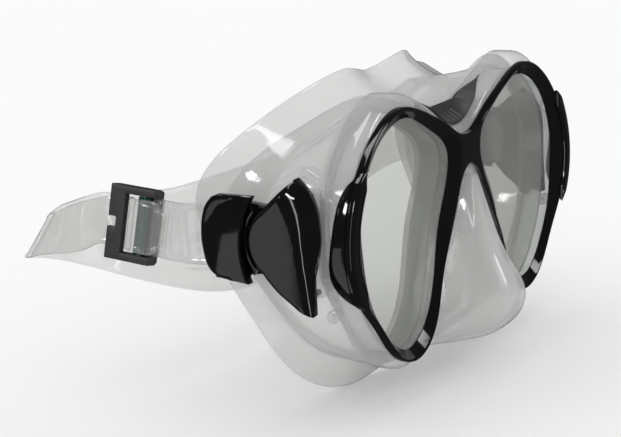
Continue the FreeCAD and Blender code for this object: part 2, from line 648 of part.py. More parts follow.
parts = [front_bezel(), lens("left_lens", 1), lens("right_lens", -1), clear_frame(),
         bridge_grip(), shape_feature("skirt", skirt()),
         shape_feature("nose_pocket", nose_pocket())]
for side, hand in ((1, "left"), (-1, "right")):
    pivot = (size("pivot_y"), size("pivot_z"))
    parts += [
        shape_feature(f"{hand}_side_clip", side_clip(side)),
        pod_base(f"{hand}_pod_base", side), pod_cover(f"{hand}_pod_cover", side),
        shape_feature(f"{hand}_pod_screws", pod_screws(side)),
        side_cylinder(f"{hand}_swivel_pin", side, pivot, cell("pin_radius"),
                      size("pin_inner"), cell("pin_depth")),
        swivel_neck(f"{hand}_swivel_neck", side), buckle_cap(f"{hand}_buckle_cap", side),
        strap_pin(f"{hand}_strap_pin", side)]
parts += [shape_feature("strap_link", strap_link()),
          shape_feature("slider_frame", slider_frame(), slider_place()),
          slider_rod("slider_roller", cell("roller_radius"), size("roller_length"),
                     cell("roller_bore")),
          slider_rod("slider_roller_pin", cell("roller_pin_radius"), size("roller_pin_length")),
          shape_feature("strap", strap())]
doc.recompute()

for item in doc.Objects:
    if "Invalid" in item.State or "Error" in item.State:
        raise ValueError(f"{item.Label} failed to recompute")
os.makedirs("parts", exist_ok=True)
for item in parts:
    if item.Shape.isNull() or not item.Shape.isValid():
        raise ValueError(f"{item.Label} has no valid shape")
    print(f"{item.Label}: {len(item.Shape.Solids)} solid(s), {item.Shape.Volume:.0f} mm3")
for item in parts:
    item.Shape.exportStep(os.path.join("parts", f"{item.Label}.step"))
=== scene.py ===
import math

import bmesh
import bpy
import numpy as np
from mathutils import Matrix, Vector
from mathutils.geometry import delaunay_2d_cdt


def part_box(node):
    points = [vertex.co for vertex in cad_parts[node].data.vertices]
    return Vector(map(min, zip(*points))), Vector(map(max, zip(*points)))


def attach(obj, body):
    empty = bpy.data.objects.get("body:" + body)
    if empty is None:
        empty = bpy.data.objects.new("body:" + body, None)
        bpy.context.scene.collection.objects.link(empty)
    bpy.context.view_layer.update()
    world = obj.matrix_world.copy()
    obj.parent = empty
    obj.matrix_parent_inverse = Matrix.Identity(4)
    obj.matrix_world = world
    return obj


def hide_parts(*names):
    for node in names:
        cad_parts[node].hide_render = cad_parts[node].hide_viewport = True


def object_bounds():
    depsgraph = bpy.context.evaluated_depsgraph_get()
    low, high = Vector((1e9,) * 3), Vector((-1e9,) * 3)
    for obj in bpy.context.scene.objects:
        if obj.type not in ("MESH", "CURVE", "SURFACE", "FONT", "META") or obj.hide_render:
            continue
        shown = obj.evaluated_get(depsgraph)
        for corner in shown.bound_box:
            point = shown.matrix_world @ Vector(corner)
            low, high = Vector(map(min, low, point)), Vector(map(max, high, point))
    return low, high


# Twin-lens diving mask. X is to the wearer's left, Y backwards to the face, Z up. Shapes are worked out in
# millimetres and turned to metres as each mesh is made.

MM = 0.001
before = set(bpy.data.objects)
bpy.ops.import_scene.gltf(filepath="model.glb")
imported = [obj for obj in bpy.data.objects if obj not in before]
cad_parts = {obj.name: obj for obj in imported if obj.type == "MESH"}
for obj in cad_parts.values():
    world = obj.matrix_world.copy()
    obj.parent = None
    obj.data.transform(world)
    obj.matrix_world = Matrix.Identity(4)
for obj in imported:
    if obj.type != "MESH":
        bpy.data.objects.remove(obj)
cad_low, cad_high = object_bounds()

# ---- driving places, from the frame


def mm_box(node):
    low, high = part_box(node)
    return np.array(low) / MM, np.array(high) / MM


BEZEL_BACK = mm_box("front_bezel")[1][1]
SHELL_FRONT, SHELL_BACK = BEZEL_BACK + 0.1, mm_box("bridge_grip")[1][1]
GRIP_FRONT = mm_box("bridge_grip")[0][1]
LENS_BACK = mm_box("left_lens")[1][1]
COVER_IN, COVER_OUT = (end[0] for end in mm_box("left_pod_cover"))
BASE_IN = mm_box("left_pod_base")[0][0]
CAP_IN, CAP_OUT = (end[0] for end in mm_box("left_buckle_cap"))
PIVOT = sum(mm_box("left_swivel_pin"))[1:] / 2
STRAP_PIN = sum(mm_box("left_strap_pin"))[:2] / 2
# The skirt's web behind the lenses, the clear frame's front shoulder, and the middle of the face.
WEB_FRONT, WEB_BACK = 12.4, 14.4
SHOULDER = 3.4
FACE_MIDDLE = np.array([0, 0, -20])

# Skirt lines (X, Y, Z) for the half with X >= 0: root on the web, crease, and free edge on the face.
ROOT_Y = 13.4
SKIRT_ROOT = [(x, ROOT_Y, z) for x, z in (
    (0, 12.6), (21, 17.6), (43, 22.4), (59.5, 16.4), (71, 3), (73, -14), (70, -29), (58, -47),
    (42, -58), (20, -60.6), (0, -60.6))]
SKIRT_CREASE = [(0, 24, 19.5), (22, 25, 21.4), (45, 26, 15.4), (61, 30, 10.6), (68.5, 36, 1),
                (70.5, 39, -15), (67.5, 36, -33), (57, 31, -48), (42, 24, -58.5), (20, 20, -62),
                (0, 18, -62)]
SKIRT_EDGE = [(0, 36, 27), (19, 33.5, 30), (42, 42, 23.5), (60, 45, 18), (66, 54.5, 9),
              (66.5, 62, -4), (64.5, 58, -22), (61, 48, -42), (53, 37, -62), (38, 31, -70),
              (18, 27, -69), (0, 24, -66)]

# Nose pocket levels: Z, half width at the back, half width in front, Y of the front.
POCKET_LEVELS = [(-6.5, 2.3, 1.4, -2.0), (-20, 12.3, 3.6, -5.6), (-34, 20, 6.2, -10.4),
                 (-48, 26.2, 8.6, -15.2), (-56, 26, 8.2, -10.5), (-60, 22, 7, 4)]

# Side outlines (Y, Z) of the strap arms. A pod's rear edge is an arc round the pivot, in degrees.
POD_FRONT = [(11, -31.2), (10.9, -24), (10.4, -16), (9.6, -11), (9.5, -5.5), (10, -1), (11.7, 3.4),
             (17, 8.1)]
POD_LOWER = (20.6, -26.8)
POD_RADIUS, POD_UP, POD_DOWN = 11.8, 57.0, -55.0
# How far a pod cover's face bows in, its front edge's height, and the undercut of cover and base.
POD_BOW, COVER_EDGE, COVER_UNDERCUT, BASE_UNDERCUT = 4.6, 1.5, 0.5, 2.0
CAP_REAR = [(29.6, 3.3), (37, 3.1), (43.8, 2.3), (46.8, -0.6), (48.4, -5), (49, -10.2), (48.2, -15.4),
            (46.6, -19.4), (43.4, -21.8), (37.5, -22.5), (32.2, -23.1)]
CAP_FRONT = (34.2, -10)
EAR = [(8, 2), (16, 5), (29, -3), (30, -10.5), (27, -19), (14, -28), (8, -24)]
LUG = [(16.8, 9.4), (15.4, 11.2), (11.8, 10.2), (8.2, 8), (7.6, 4.8), (8.6, 1.6), (10.2, 4.6), (13, 7.8)]
CLIP_SIDE = [(-1, 9), (2.2, 6.8), (4.6, 3.4), (5.8, -2), (6.4, -8.5), (7.7, -18), (7.4, -22.5),
             (3.6, -28), (-1, -31.5)]

# Link and strap. On the slider's own axes x is inwards and y rearwards, from the slider's middle.
STRAP_WIDTH, STRAP_WALL, LINK_WALL = 18, 1.5, 1.6
LINK_HALF, LINK_REAR_HALF = 9.3, 8.8
EYE_RADIUS, STRAP_PIN_RADIUS, BAR_RADIUS = 2.4, 1.2, 1.3
BAR_PLACE, ROLLER_PLACE = (1.6, -7.4), (-0.2, -3.2)
SLIDER_PLACE = (Matrix.Translation((-81, 75.5, -9)) @ Matrix.Rotation(math.radians(12), 4, "Y")
                @ Matrix.Rotation(math.radians(5), 4, "X"))
LINK_PATH = [(-80.4, 43.2), (-80.8, 50), (-81, 57)]
LINK_END = [(0.9, -12.6), (1.5, -10), (1.6, -8.2)]
STRAP_END = [(-2.3, -13), (-3.1, -9), (-3.4, -5.4), (-3.3, -2.8), (-2.6, -0.6), (-1.2, 0.4),
             (0, 1.6), (0.3, 4), (0.2, 8), (0.2, 12)]
# Behind the slider and round the head, as (X, Y, middle Z, width, lean of the low edge).
STRAP_PATH = [(-80.6, 93, -9.6, 17.4, 1.4), (-80.2, 102, -12.3, 17.6, 2.6),
              (-79.4, 110, -14.2, 16.6, 4.3), (-77.6, 116, -16.6, 16, 5.8),
              (-74.6, 118.3, -17.6, 16, 6.4), (-71.6, 116, -17.4, 17.5, 5.8),
              (-69.4, 110, -17, 20, 4), (-66.6, 101, -17.4, 24, 1.8), (-60.5, 92, -19, 29, 0.4),
              (-50, 85.6, -22, 33, 0), (-36, 82.4, -24.6, 38, 0), (-18, 80.8, -26.6, 42, 0),
              (0, 80.4, -27.4, 43, 0), (18, 80.8, -26.6, 42, 0), (36, 82.2, -24.4, 38, 0),
              (52, 83.6, -21.4, 33, 0), (66, 82.6, -18.4, 28, 0), (76, 78.6, -15.6, 23.5, 0),
              (81.6, 71.6, -13, 20.5, 0), (82.6, 62, -11.2, 19, 0), (81.2, 51, -10.5, 18.6, 0),
              (80.4, 43.2, -10.5, 18.6, 0)]

# The clear frame's crest under the grip, (X, Z).
GRIP_UNDER = [(-24, 21.7), (-13, 15.5), (-6.5, 11.6), (0, 10.2), (6.5, 11.6), (13, 15.5), (24, 21.7)]


# ---- curves
def mirrored(half):
    """The whole outline of a half: down the X > 0 side, then up the other."""
    other = [(-point[0], *point[1:]) for point in reversed(half)]
    return half + [point for point in other if point[0] != 0]


def spline(points, count, closed=False):
    """count points on the smooth curve through points, evenly spread over its chords."""
    knots = np.asarray(points, float)
    if closed:
        knots = np.vstack([knots, knots[:1]])
    step = np.linalg.norm(np.diff(knots, axis=0), axis=1)
    at = np.concatenate([[0], np.cumsum(step)])
    slope = np.diff(knots, axis=0) / step[:, None]
    size = len(knots)
    system, right = np.zeros((size, size)), np.zeros(knots.shape)
    for k in range(1, size - 1):
        system[k, k - 1:k + 2] = step[k - 1], 2 * (step[k - 1] + step[k]), step[k]
        right[k] = 6 * (slope[k] - slope[k - 1])
    if closed:
        system[0, 0], system[0, -1] = 1, -1
        system[-1, [0, 1, -2, -1]] = 2 * step[0], step[0], step[-1], 2 * step[-1]
        right[-1] = 6 * (slope[0] - slope[-1])
    else:
        system[0, 0] = system[-1, -1] = 1
    bend = np.linalg.solve(system, right)
    where = np.linspace(0, at[-1], count, endpoint=not closed)
    k = np.clip(np.searchsorted(at, where, side="right") - 1, 0, size - 2)
    wide = step[k][:, None]
    before, after = (where - at[k])[:, None], (at[k + 1] - where)[:, None]
    return (bend[k] * after ** 3 + bend[k + 1] * before ** 3) / (6 * wide) \
        + (knots[k] / wide - bend[k] * wide / 6) * after \
        + (knots[k + 1] / wide - bend[k + 1] * wide / 6) * before


def polar(centre, radius, degrees):
    angle = math.radians(degrees)
    return centre[0] + radius * math.cos(angle), centre[1] + radius * math.sin(angle)


def arc(start, middle, end, pitch=0.6):
    """Points on the circle through three points, without the last one."""
    (ax, ay), (bx, by), (cx, cy) = start, middle, end
    twice = 2 * (ax * (by - cy) + bx * (cy - ay) + cx * (ay - by))
    a, b, c = (x * x + y * y for x, y in (start, middle, end))
    centre = np.array([a * (by - cy) + b * (cy - ay) + c * (ay - by),
                       a * (cx - bx) + b * (ax - cx) + c * (bx - ax)]) / twice
    first, second, last = (math.atan2(y - centre[1], x - centre[0]) for x, y in (start, middle, end))
    full = 2 * math.pi
    turn = (last - first) % full
    if (second - first) % full > turn:
        turn -= full
    radius = math.dist(start, centre)
    count = max(3, round(abs(turn) * radius / pitch))
    angles = first + turn * np.arange(count) / count
    return [tuple(centre + radius * np.array([math.cos(t), math.sin(t)])) for t in angles]


def straight(start, end, pitch=0.8):
    """Points from start to end, without the last one."""
    count = max(2, round(math.dist(start, end) / pitch))
    return [tuple(np.array(start) + (np.array(end) - np.array(start)) * k / count)
            for k in range(count)]


def unit(vectors):
    return vectors / np.maximum(np.linalg.norm(vectors, axis=-1, keepdims=True), 1e-9)


def offset(loop, distance):
    """A closed outline moved to the left of its own direction."""
    ahead = np.roll(loop, -1, 0) - np.roll(loop, 1, 0)
    return loop + unit(np.stack([-ahead[:, 1], ahead[:, 0]], 1)) * distance


def turned(loop, anticlockwise):
    x, z = loop[:, 0], loop[:, 1]
    area = (x * np.roll(z, -1) - np.roll(x, -1) * z).sum()
    return loop if (area > 0) == anticlockwise else loop[::-1]


def distance(points, loop):
    """How far each point is from a closed outline."""
    side = np.roll(loop, -1, 0) - loop
    to = points[:, None] - loop[None]
    share = np.clip((to * side).sum(-1) / (side ** 2).sum(-1), 0, 1)
    return np.linalg.norm(to - share[..., None] * side, axis=-1).min(1)


def inside(points, loop):
    x, z = points[:, :1], points[:, 1:]
    end = np.roll(loop, -1, 0)
    spans = (loop[:, 1] > z) != (end[:, 1] > z)
    rise = np.where(end[:, 1] == loop[:, 1], 1, end[:, 1] - loop[:, 1])
    cross = loop[:, 0] + (z - loop[:, 1]) * (end[:, 0] - loop[:, 0]) / rise
    return (spans & (x < cross)).sum(1) % 2 == 1


def face_loops(node, level, pitch=1.2):
    """Outlines (X, Z) of a CAD node's flat face at that Y, the longest first, evenly spaced."""
    shape = bmesh.new()
    shape.from_mesh(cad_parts[node].data)
    bmesh.ops.remove_doubles(shape, verts=shape.verts, dist=1e-6)
    flat = {f for f in shape.faces if all(abs(v.co.y / MM - level) < 0.02 for v in f.verts)}
    beside = {}
    for edge in shape.edges:
        if sum(f in flat for f in edge.link_faces) == 1:
            for a, b in (edge.verts, reversed(edge.verts)):
                beside.setdefault(a.index, []).append(b.index)
    shape.verts.ensure_lookup_table()
    loops = []
    while beside:
        here, chain = next(iter(beside)), []
        while here is not None:
            chain.append(here)
            here = next((n for n in beside.pop(here) if n in beside), None)
        points = np.array([(shape.verts[i].co.x, shape.verts[i].co.z) for i in chain]) / MM
        loops.append(even(points, pitch))
    shape.free()
    return sorted(loops, key=len, reverse=True)


def even(points, pitch):
    """A closed outline's points spaced evenly."""
    ring = np.vstack([points, points[:1]])
    at = np.concatenate([[0], np.cumsum(np.linalg.norm(np.diff(ring, axis=0), axis=1))])
    where = np.linspace(0, at[-1], max(12, round(at[-1] / pitch)), endpoint=False)
    return np.stack([np.interp(where, at, ring[:, k]) for k in range(ring.shape[1])], 1)


# ---- shapes, as (points, faces)
def joined(*shapes):
    points, faces, start = [], [], 0
    for shape_points, shape_faces in shapes:
        points.append(np.asarray(shape_points, float))
        faces += [tuple(i + start for i in face) for face in shape_faces]
        start += len(shape_points)
    return np.vstack(points), faces


def grid(rows, wrap_rows=False, wrap_points=False):
    """A sheet over rows of points; wrapped, it closes from the last to the first."""
    rows = np.asarray(rows, float)
    high, wide = rows.shape[:2]
    faces = []
    for i in range(high if wrap_rows else high - 1):
        for j in range(wide if wrap_points else wide - 1):
            up, on = (i + 1) % high, (j + 1) % wide
            faces.append((i * wide + j, i * wide + on, up * wide + on, up * wide + j))
    return rows.reshape(-1, 3), faces


def sweep(sections, closed=False):
    """A solid through closed sections, with flat ends where the run isn't closed."""
    points, faces = grid(sections, wrap_rows=closed, wrap_points=True)
    wide = len(sections[0])
    if not closed:
        last = (len(sections) - 1) * wide
        faces += [tuple(range(wide))[::-1], tuple(range(last, last + wide))]
    return points, faces


def plate(outer, holes, top, bottom, drop, place, steps, pitch, under=None):
    """A closed plate over a flat outline.

    drop(away, spots) lowers its top, and under(away, spots) lifts its underside, by the distances
    from each loop and the flat places.
    """
    loops = [turned(np.asarray(outer, float), True)]
    loops += [turned(np.asarray(hole, float), False) for hole in holes]
    points, edges = [], []
    for loop in loops:
        first = sum(len(p) for p in points)
        edges += [(first + k, first + (k + 1) % len(loop)) for k in range(len(loop))]
        points.append(loop)

    def within(spots):
        keep = inside(spots, loops[0])
        for hole in loops[1:]:
            keep &= ~inside(spots, hole)
        return keep

    for k, loop in enumerate(loops):
        for step in steps:
            ring = offset(loop, step)
            away = np.stack([distance(ring, other) for other in loops])
            points.append(ring[(away.argmin(0) == k) & (away[k] > 0.97 * step) & within(ring)])
    low, high = loops[0].min(0), loops[0].max(0)
    spots = np.stack(np.meshgrid(*[np.arange(low[a] + pitch / 2, high[a], pitch) for a in (0, 1)]),
                     -1).reshape(-1, 2)
    away = np.stack([distance(spots, loop) for loop in loops]).min(0)
    points.append(spots[within(spots) & (away > steps[-1] + pitch / 2)])
    flat = [Vector(p) for p in np.vstack(points)]
    made = delaunay_2d_cdt(flat, edges, [], 0, 1e-5)
    flat = np.array([tuple(v) for v in made[0]])
    triangles = np.array(made[2])
    triangles = triangles[within(flat[triangles].mean(1))]
    away = np.stack([distance(flat, loop) for loop in loops])
    upper = top - drop(away, flat)
    lower = bottom + (under(away, flat) if under else np.zeros(len(flat)))
    count = len(flat)
    faces = [tuple(t) for t in triangles] + [tuple(t + count)[::-1] for t in triangles]
    used = {}
    for t in triangles:
        for a, b in ((t[0], t[1]), (t[1], t[2]), (t[2], t[0])):
            used[(min(a, b), max(a, b))] = used.get((min(a, b), max(a, b)), []) + [(a, b)]
    rim = [sides[0] for sides in used.values() if len(sides) == 1]
    faces += [(b, a, a + count, b + count) for a, b in rim]
    solid = np.vstack([place(flat[:, 0], flat[:, 1], upper), place(flat[:, 0], flat[:, 1], lower)])
    return solid, faces


def to_front(x, z, height):
    """A front plate's points: height is forwards."""
    return np.stack([x, -height, z], 1)


def to_side(side):
    """A side plate's points: height is outwards."""
    return lambda y, z, height: np.stack([side * height, y, z], 1)


def rounded(radius):
    """Drop of a rounded edge, by the distance from the edge."""
    def drop(away):
        inward = np.clip(radius - away, 0, radius)
        return radius - np.sqrt(radius ** 2 - inward ** 2)
    return drop


def round_outside(radius):
    """A plate's drop that rounds only its outer edge."""
    edge = rounded(radius)
    return lambda away, spots: edge(away[0])


def bevelled(radius, share, width, depth, start, fade):
    """A plate's drop with a rounded edge, and a bevel that fades in behind start."""
    edge = rounded(radius)

    def drop(away, spots):
        bevel = depth * np.clip(1 - away[0] / width, 0, 1)
        return share * edge(away[0]) + bevel * ease((spots[:, 0] - start) / fade)
    return drop


def flat_top(away, spots):
    return np.zeros(len(spots))


def ease(value):
    value = np.clip(value, 0, 1)
    return value * value * (3 - 2 * value)


def between(value, low, high, fade):
    """0 outside low to high, rising to 1 over fade inside each end."""
    return ease((value - low) / fade) * ease((high - value) / fade)


def hump(value, middle, width):
    return np.exp(-((value - middle) / width) ** 2)


def placed(points, place):
    return np.array([tuple(place @ Vector(point)) for point in points])


# ---- pieces
def added(name, data):
    obj = bpy.data.objects.new(name, data)
    bpy.context.scene.collection.objects.link(obj)
    return obj


def piece(name, shape, material, body, replaced=(), sharp=35):
    """An object from a shape in millimetres, riding on a body of the frame."""
    points, faces = shape
    mesh = bpy.data.meshes.new(name)
    mesh.from_pydata([tuple(p) for p in np.asarray(points) * MM], [],
                     [tuple(int(i) for i in face) for face in faces])
    work = bmesh.new()
    work.from_mesh(mesh)
    bmesh.ops.remove_doubles(work, verts=work.verts, dist=1e-7)
    bmesh.ops.recalc_face_normals(work, faces=work.faces)
    work.to_mesh(mesh)
    work.free()
    mesh.shade_smooth()
    mesh.set_sharp_from_angle(angle=math.radians(sharp))
    obj = added(name, mesh)
    mesh.materials.append(material)
    obj.visible_shadow = material not in UNSHADED
    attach(obj, body)
    if replaced:
        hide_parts(*replaced)
    return obj


def repaint(node, material, bevel_width=0.0):
    """A CAD node with a material of its own, and softer edges where it has a bevel."""
    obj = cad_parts[node]
    obj.data.materials.clear()
    obj.data.materials.append(material)
    obj.data.shade_smooth()
    obj.data.set_sharp_from_angle(angle=math.radians(30))
    if bevel_width:
        bevel = obj.modifiers.new("edges", "BEVEL")
        bevel.width = bevel_width * MM
        bevel.segments = 2
        bevel.limit_method = "ANGLE"
        bevel.angle_limit = math.radians(35)
        bevel.harden_normals = True


# ---- materials
class Nodes:
    """Short hand for the node tree of one material, or of the world."""

    def __init__(self, name, kind="Material"):
        self.kind = kind
        self.owner = (bpy.data.worlds if kind == "World" else bpy.data.materials).new(name)
        self.owner.use_nodes = True
        self.tree = self.owner.node_tree
        self.tree.nodes.clear()

    def add(self, kind, links=None, **settings):
        made = self.tree.nodes.new(kind)
        for key, value in settings.items():
            setattr(made, key, value)
        for socket, value in (links or {}).items():
            self.feed(made.inputs[socket], value)
        return made

    def feed(self, socket, value):
        if isinstance(value, bpy.types.NodeSocket):
            self.tree.links.new(value, socket)
        else:
            socket.default_value = value

    def noise(self, scale, detail=3.0, rough=0.55, stretch=None):
        place = self.add("ShaderNodeTexCoord").outputs["Object"]
        if stretch:
            place = self.add("ShaderNodeMapping", {"Vector": place, "Scale": stretch}).outputs[0]
        return self.add("ShaderNodeTexNoise", {"Vector": place, "Scale": scale, "Detail": detail,
                                               "Roughness": rough}).outputs["Fac"]

    def span(self, value, low, high, start=0.3, end=0.7):
        """value from start to end, mapped to low to high."""
        return self.add("ShaderNodeMapRange", {"Value": value, "From Min": start, "From Max": end,
                                               "To Min": low, "To Max": high}).outputs[0]

    def shades(self, value, first, second):
        mix = self.add("ShaderNodeMix", {"Factor": value}, data_type="RGBA")
        for socket, colour in ((mix.inputs[6], first), (mix.inputs[7], second)):
            self.feed(socket, (*colour, 1) if isinstance(colour, tuple) else colour)
        return mix.outputs[2]

    def bump(self, height, depth, strength):
        return self.add("ShaderNodeBump", {"Height": height, "Distance": depth,
                                           "Strength": strength}).outputs[0]

    def facing(self, power, low, high):
        """low where a surface is met head on, rising to high where it turns away."""
        away = self.add("ShaderNodeLayerWeight", {"Blend": 0.5}).outputs["Facing"]
        curve = self.add("ShaderNodeMath", {0: away, 1: power}, operation="POWER").outputs[0]
        return self.span(curve, low, high, 0.0, 1.0)

    def mixed(self, share, first, second):
        mix = self.add("ShaderNodeMixShader", {0: share})
        self.feed(mix.inputs[1], first)
        self.feed(mix.inputs[2], second)
        return mix.outputs[0]

    def done(self, shader):
        self.add("ShaderNodeOutput" + self.kind, {"Surface": shader})
        return self.owner


def opaque(name, marks, shades, rough, grain=None, bump=None, sockets=None):
    """A solid surface: marks, a noise, set its colour and roughness, and grain or marks its bump."""
    n = Nodes(name)
    cloud = n.noise(*marks)
    feeds = {"Base Color": n.shades(cloud, *shades), "Roughness": n.span(cloud, *rough)}
    if bump:
        feeds["Normal"] = n.bump(n.noise(*grain) if grain else cloud, *bump)
    return n.done(n.add("ShaderNodeBsdfPrincipled", {**feeds, **(sockets or {})}).outputs[0])


def clear_sheet(name, tint, haze, rim_haze, light, dark, rim, rough):
    """Clear soft plastic: light passes straight on, slightly hazed, with painted shade darkening it where
    it turns away.
    """
    n = Nodes(name)
    cloud = n.noise(45, 4, 0.55)
    ripple = n.noise(120, 2, 0.45)
    skin = n.bump(ripple, 0.0006, 0.16)
    # Where the sheet turns away its colour goes to rim: painted dark shade that draws its outlines.
    body = n.add("ShaderNodeBsdfDiffuse", {
        "Color": n.shades(n.facing(8.0, 0.0, 1.0), n.shades(cloud, light, dark), rim),
        "Normal": skin})
    through = n.add("ShaderNodeBsdfTransparent", {"Color": (*tint, 1)})
    sheet = n.mixed(n.facing(3.2, haze, rim_haze), through.outputs[0], body.outputs[0])
    gloss = n.add("ShaderNodeBsdfGlossy", {"Color": (1, 1, 1, 1), "Normal": skin,
                                           "Roughness": n.span(cloud, rough * 0.6, rough)})
    return n.done(n.mixed(n.facing(4.0, 0.04, 0.6), sheet, gloss.outputs[0]))


def lens_glass():
    """Tempered glass with a trace of green and a faint film."""
    n = Nodes("lens_glass")
    film = n.noise(30, 4, 0.6)
    through = n.add("ShaderNodeBsdfTransparent", {"Color": (0.84, 0.85, 0.835, 1)})
    smear = n.add("ShaderNodeBsdfDiffuse", {"Color": n.shades(film, (0.5, 0.51, 0.5), (0.6, 0.6, 0.6))})
    pane = n.mixed(n.span(film, 0.02, 0.05), through.outputs[0], smear.outputs[0])
    gloss = n.add("ShaderNodeBsdfGlossy", {"Color": (1, 1, 1, 1),
                                           "Roughness": n.span(film, 0.01, 0.05)})
    return n.done(n.mixed(n.facing(5.0, 0.04, 0.9), pane, gloss.outputs[0]))


# Polished moulding with faint handling marks, fine spark-eroded moulding, and a soft satin overmould.
BLACK_GLOSS = opaque("black_gloss", (55, 5, 0.6), ((0.002, 0.002, 0.0023), (0.005, 0.005, 0.0055)),
                     rough=(0.04, 0.10), grain=(900, 2, 0.5), bump=(0.00002, 0.25),
                     sockets={"IOR": 1.5})
BLACK_MATTE = opaque("black_matte", (120, 3, 0.5), ((0.026, 0.025, 0.025), (0.044, 0.042, 0.042)),
                     rough=(0.36, 0.48), grain=(2600, 3, 0.6), bump=(0.00006, 0.5))
GRIP = opaque("grip_rubber", (90, 4, 0.5), ((0.02, 0.02, 0.02), (0.032, 0.032, 0.032)),
              rough=(0.42, 0.55), grain=(3200, 3, 0.65), bump=(0.00008, 0.6),
              sockets={"Sheen Weight": 0.05})
GLASS = lens_glass()
# A blue-green anodised roller, brushed round, and turned steel with fine rings.
ROLLER = opaque("roller_metal", (260, 3, 0.6, (0.2, 0.2, 9.0)),
                ((0.008, 0.075, 0.07), (0.016, 0.115, 0.105)), rough=(0.16, 0.28),
                bump=(0.00003, 0.3), sockets={"Metallic": 0.35, "Coat Weight": 0.5})
STEEL, DARK_STEEL = (opaque(name, (500, 3, 0.6, (0.3, 0.3, 6.0)), shades, rough=(0.2, 0.34),
                            sockets={"Metallic": 1.0})
                     for name, shades in (("steel", ((0.52, 0.53, 0.55), (0.68, 0.69, 0.70))),
                                          ("blackened_steel", ((0.03,) * 3, (0.06,) * 3))))
# Each clear sheet's last colour is painted shade: the dark of its outlines where it turns away.
SILICONE = clear_sheet("clear_silicone", (0.92, 0.92, 0.915), 0.29, 0.8, (0.86, 0.86, 0.855),
                       (0.77, 0.77, 0.765), (0.16, 0.16, 0.17), 0.08)
CLEAR = clear_sheet("clear_plastic", (0.935, 0.94, 0.94), 0.12, 0.75, (0.88, 0.88, 0.885),
                    (0.78, 0.78, 0.785), (0.12, 0.12, 0.13), 0.05)
STRAP_SILICONE = clear_sheet("strap_silicone", (0.90, 0.90, 0.895), 0.09, 0.75, (0.86, 0.86, 0.85),
                             (0.78, 0.78, 0.77), (0.16, 0.16, 0.16), 0.13)
LINK_SILICONE = clear_sheet("link_silicone", (0.91, 0.915, 0.91), 0.09, 0.7, (0.84, 0.84, 0.83),
                            (0.76, 0.76, 0.76), (0.14, 0.14, 0.14), 0.08)
# Clear pieces cast no shadow, so that walls one behind another stay light.
UNSHADED = (SILICONE, CLEAR, STRAP_SILICONE, LINK_SILICONE)


# ---- front: bezel, lenses, clear frame
BEZEL_LOOP, *LENS_LOOPS = face_loops("front_bezel", BEZEL_BACK)


def front_bezel():
    """Black front: a rounded rim, a lip that slopes in to each lens, and undercut nose flanks."""
    rim, lip_reach, lip_depth, nose_undercut = 0.8, 4.6, 2.25, 2.3
    edge = rounded(rim)

    def drop(away, spots):
        outer, hole = away[0], away[1:].min(0)
        reach = np.clip(outer + hole - rim, 0.5, lip_reach)
        return edge(outer) + lip_depth * (1 - np.clip(hole / reach, 0, 1))

    def place(x, z, height):
        rise = 1 + height / BEZEL_BACK
        near = np.clip(1 - distance(np.stack([x, z], 1), BEZEL_LOOP) / 2.4, 0, 1)
        flank = ease((-2 - z) / 4) * ease((28 - np.abs(x)) / 6)
        return to_front(x + np.sign(x) * nose_undercut * near * flank * (1 - rise), z, height)
    steps = (0.12, 0.35, 0.65, 1.0, 1.4, 1.9, 2.5, 3.2, 4.0, 4.8)
    shape = plate(BEZEL_LOOP, LENS_LOOPS, 0, -BEZEL_BACK, drop, place, steps, 2.5)
    return piece("front_bezel_shell", shape, BLACK_GLOSS, "mask_body",
                 ["front_bezel"])


def clear_frame():
    """Clear ring with a rounded front shoulder, and the ears, lugs and bosses at the pods."""
    outer, *seats = face_loops("clear_frame", SHELL_FRONT)
    shoulder, seat_edge, back_edge = rounded(SHOULDER), rounded(0.5), rounded(0.8)
    ring = plate(outer, seats, -SHELL_FRONT, -SHELL_BACK,
                 lambda away, spots: shoulder(away[0]) + seat_edge(away[1:].min(0)), to_front,
                 (0.1, 0.35, 0.8, 1.5, 2.4, SHOULDER), 4.0, lambda away, spots: back_edge(away[0]))
    ear = even(spline(EAR, 90, closed=True), 0.9)
    lug = even(spline(LUG, 60, closed=True), 0.7)
    ear_out, ear_in, lug_out, lug_in = 76.75, 75.2, 79.4, 75.3
    shapes = [ring]
    for side in (1, -1):
        shapes.append(plate(ear, [], ear_out, ear_in, round_outside(0.5), to_side(side),
                            (0.12, 0.3, 0.5), 3.0))
        shapes.append(plate(lug, [], lug_out, lug_in, round_outside(1.2), to_side(side),
                            (0.15, 0.5, 0.9, 1.2), 1.5))
        shapes.append(boss(side))
    return piece("clear_frame_shell", joined(*shapes), CLEAR, "mask_body",
                 ["clear_frame"])


def boss(side):
    """Small hollow boss below the pod's lower tip."""
    y, z = 8.4, -32.6
    return sweep([[(side * x, y + radius * math.cos(t), z + radius * math.sin(t))
                   for t in np.linspace(0, 2 * math.pi, 20, endpoint=False)]
                  for radius, x in ((1.9, 75.4), (1.9, 78.6), (1.6, 79.0), (1.0, 79.0), (0.8, 78.7),
                                    (0.8, 77.0), (0.1, 76.9))])


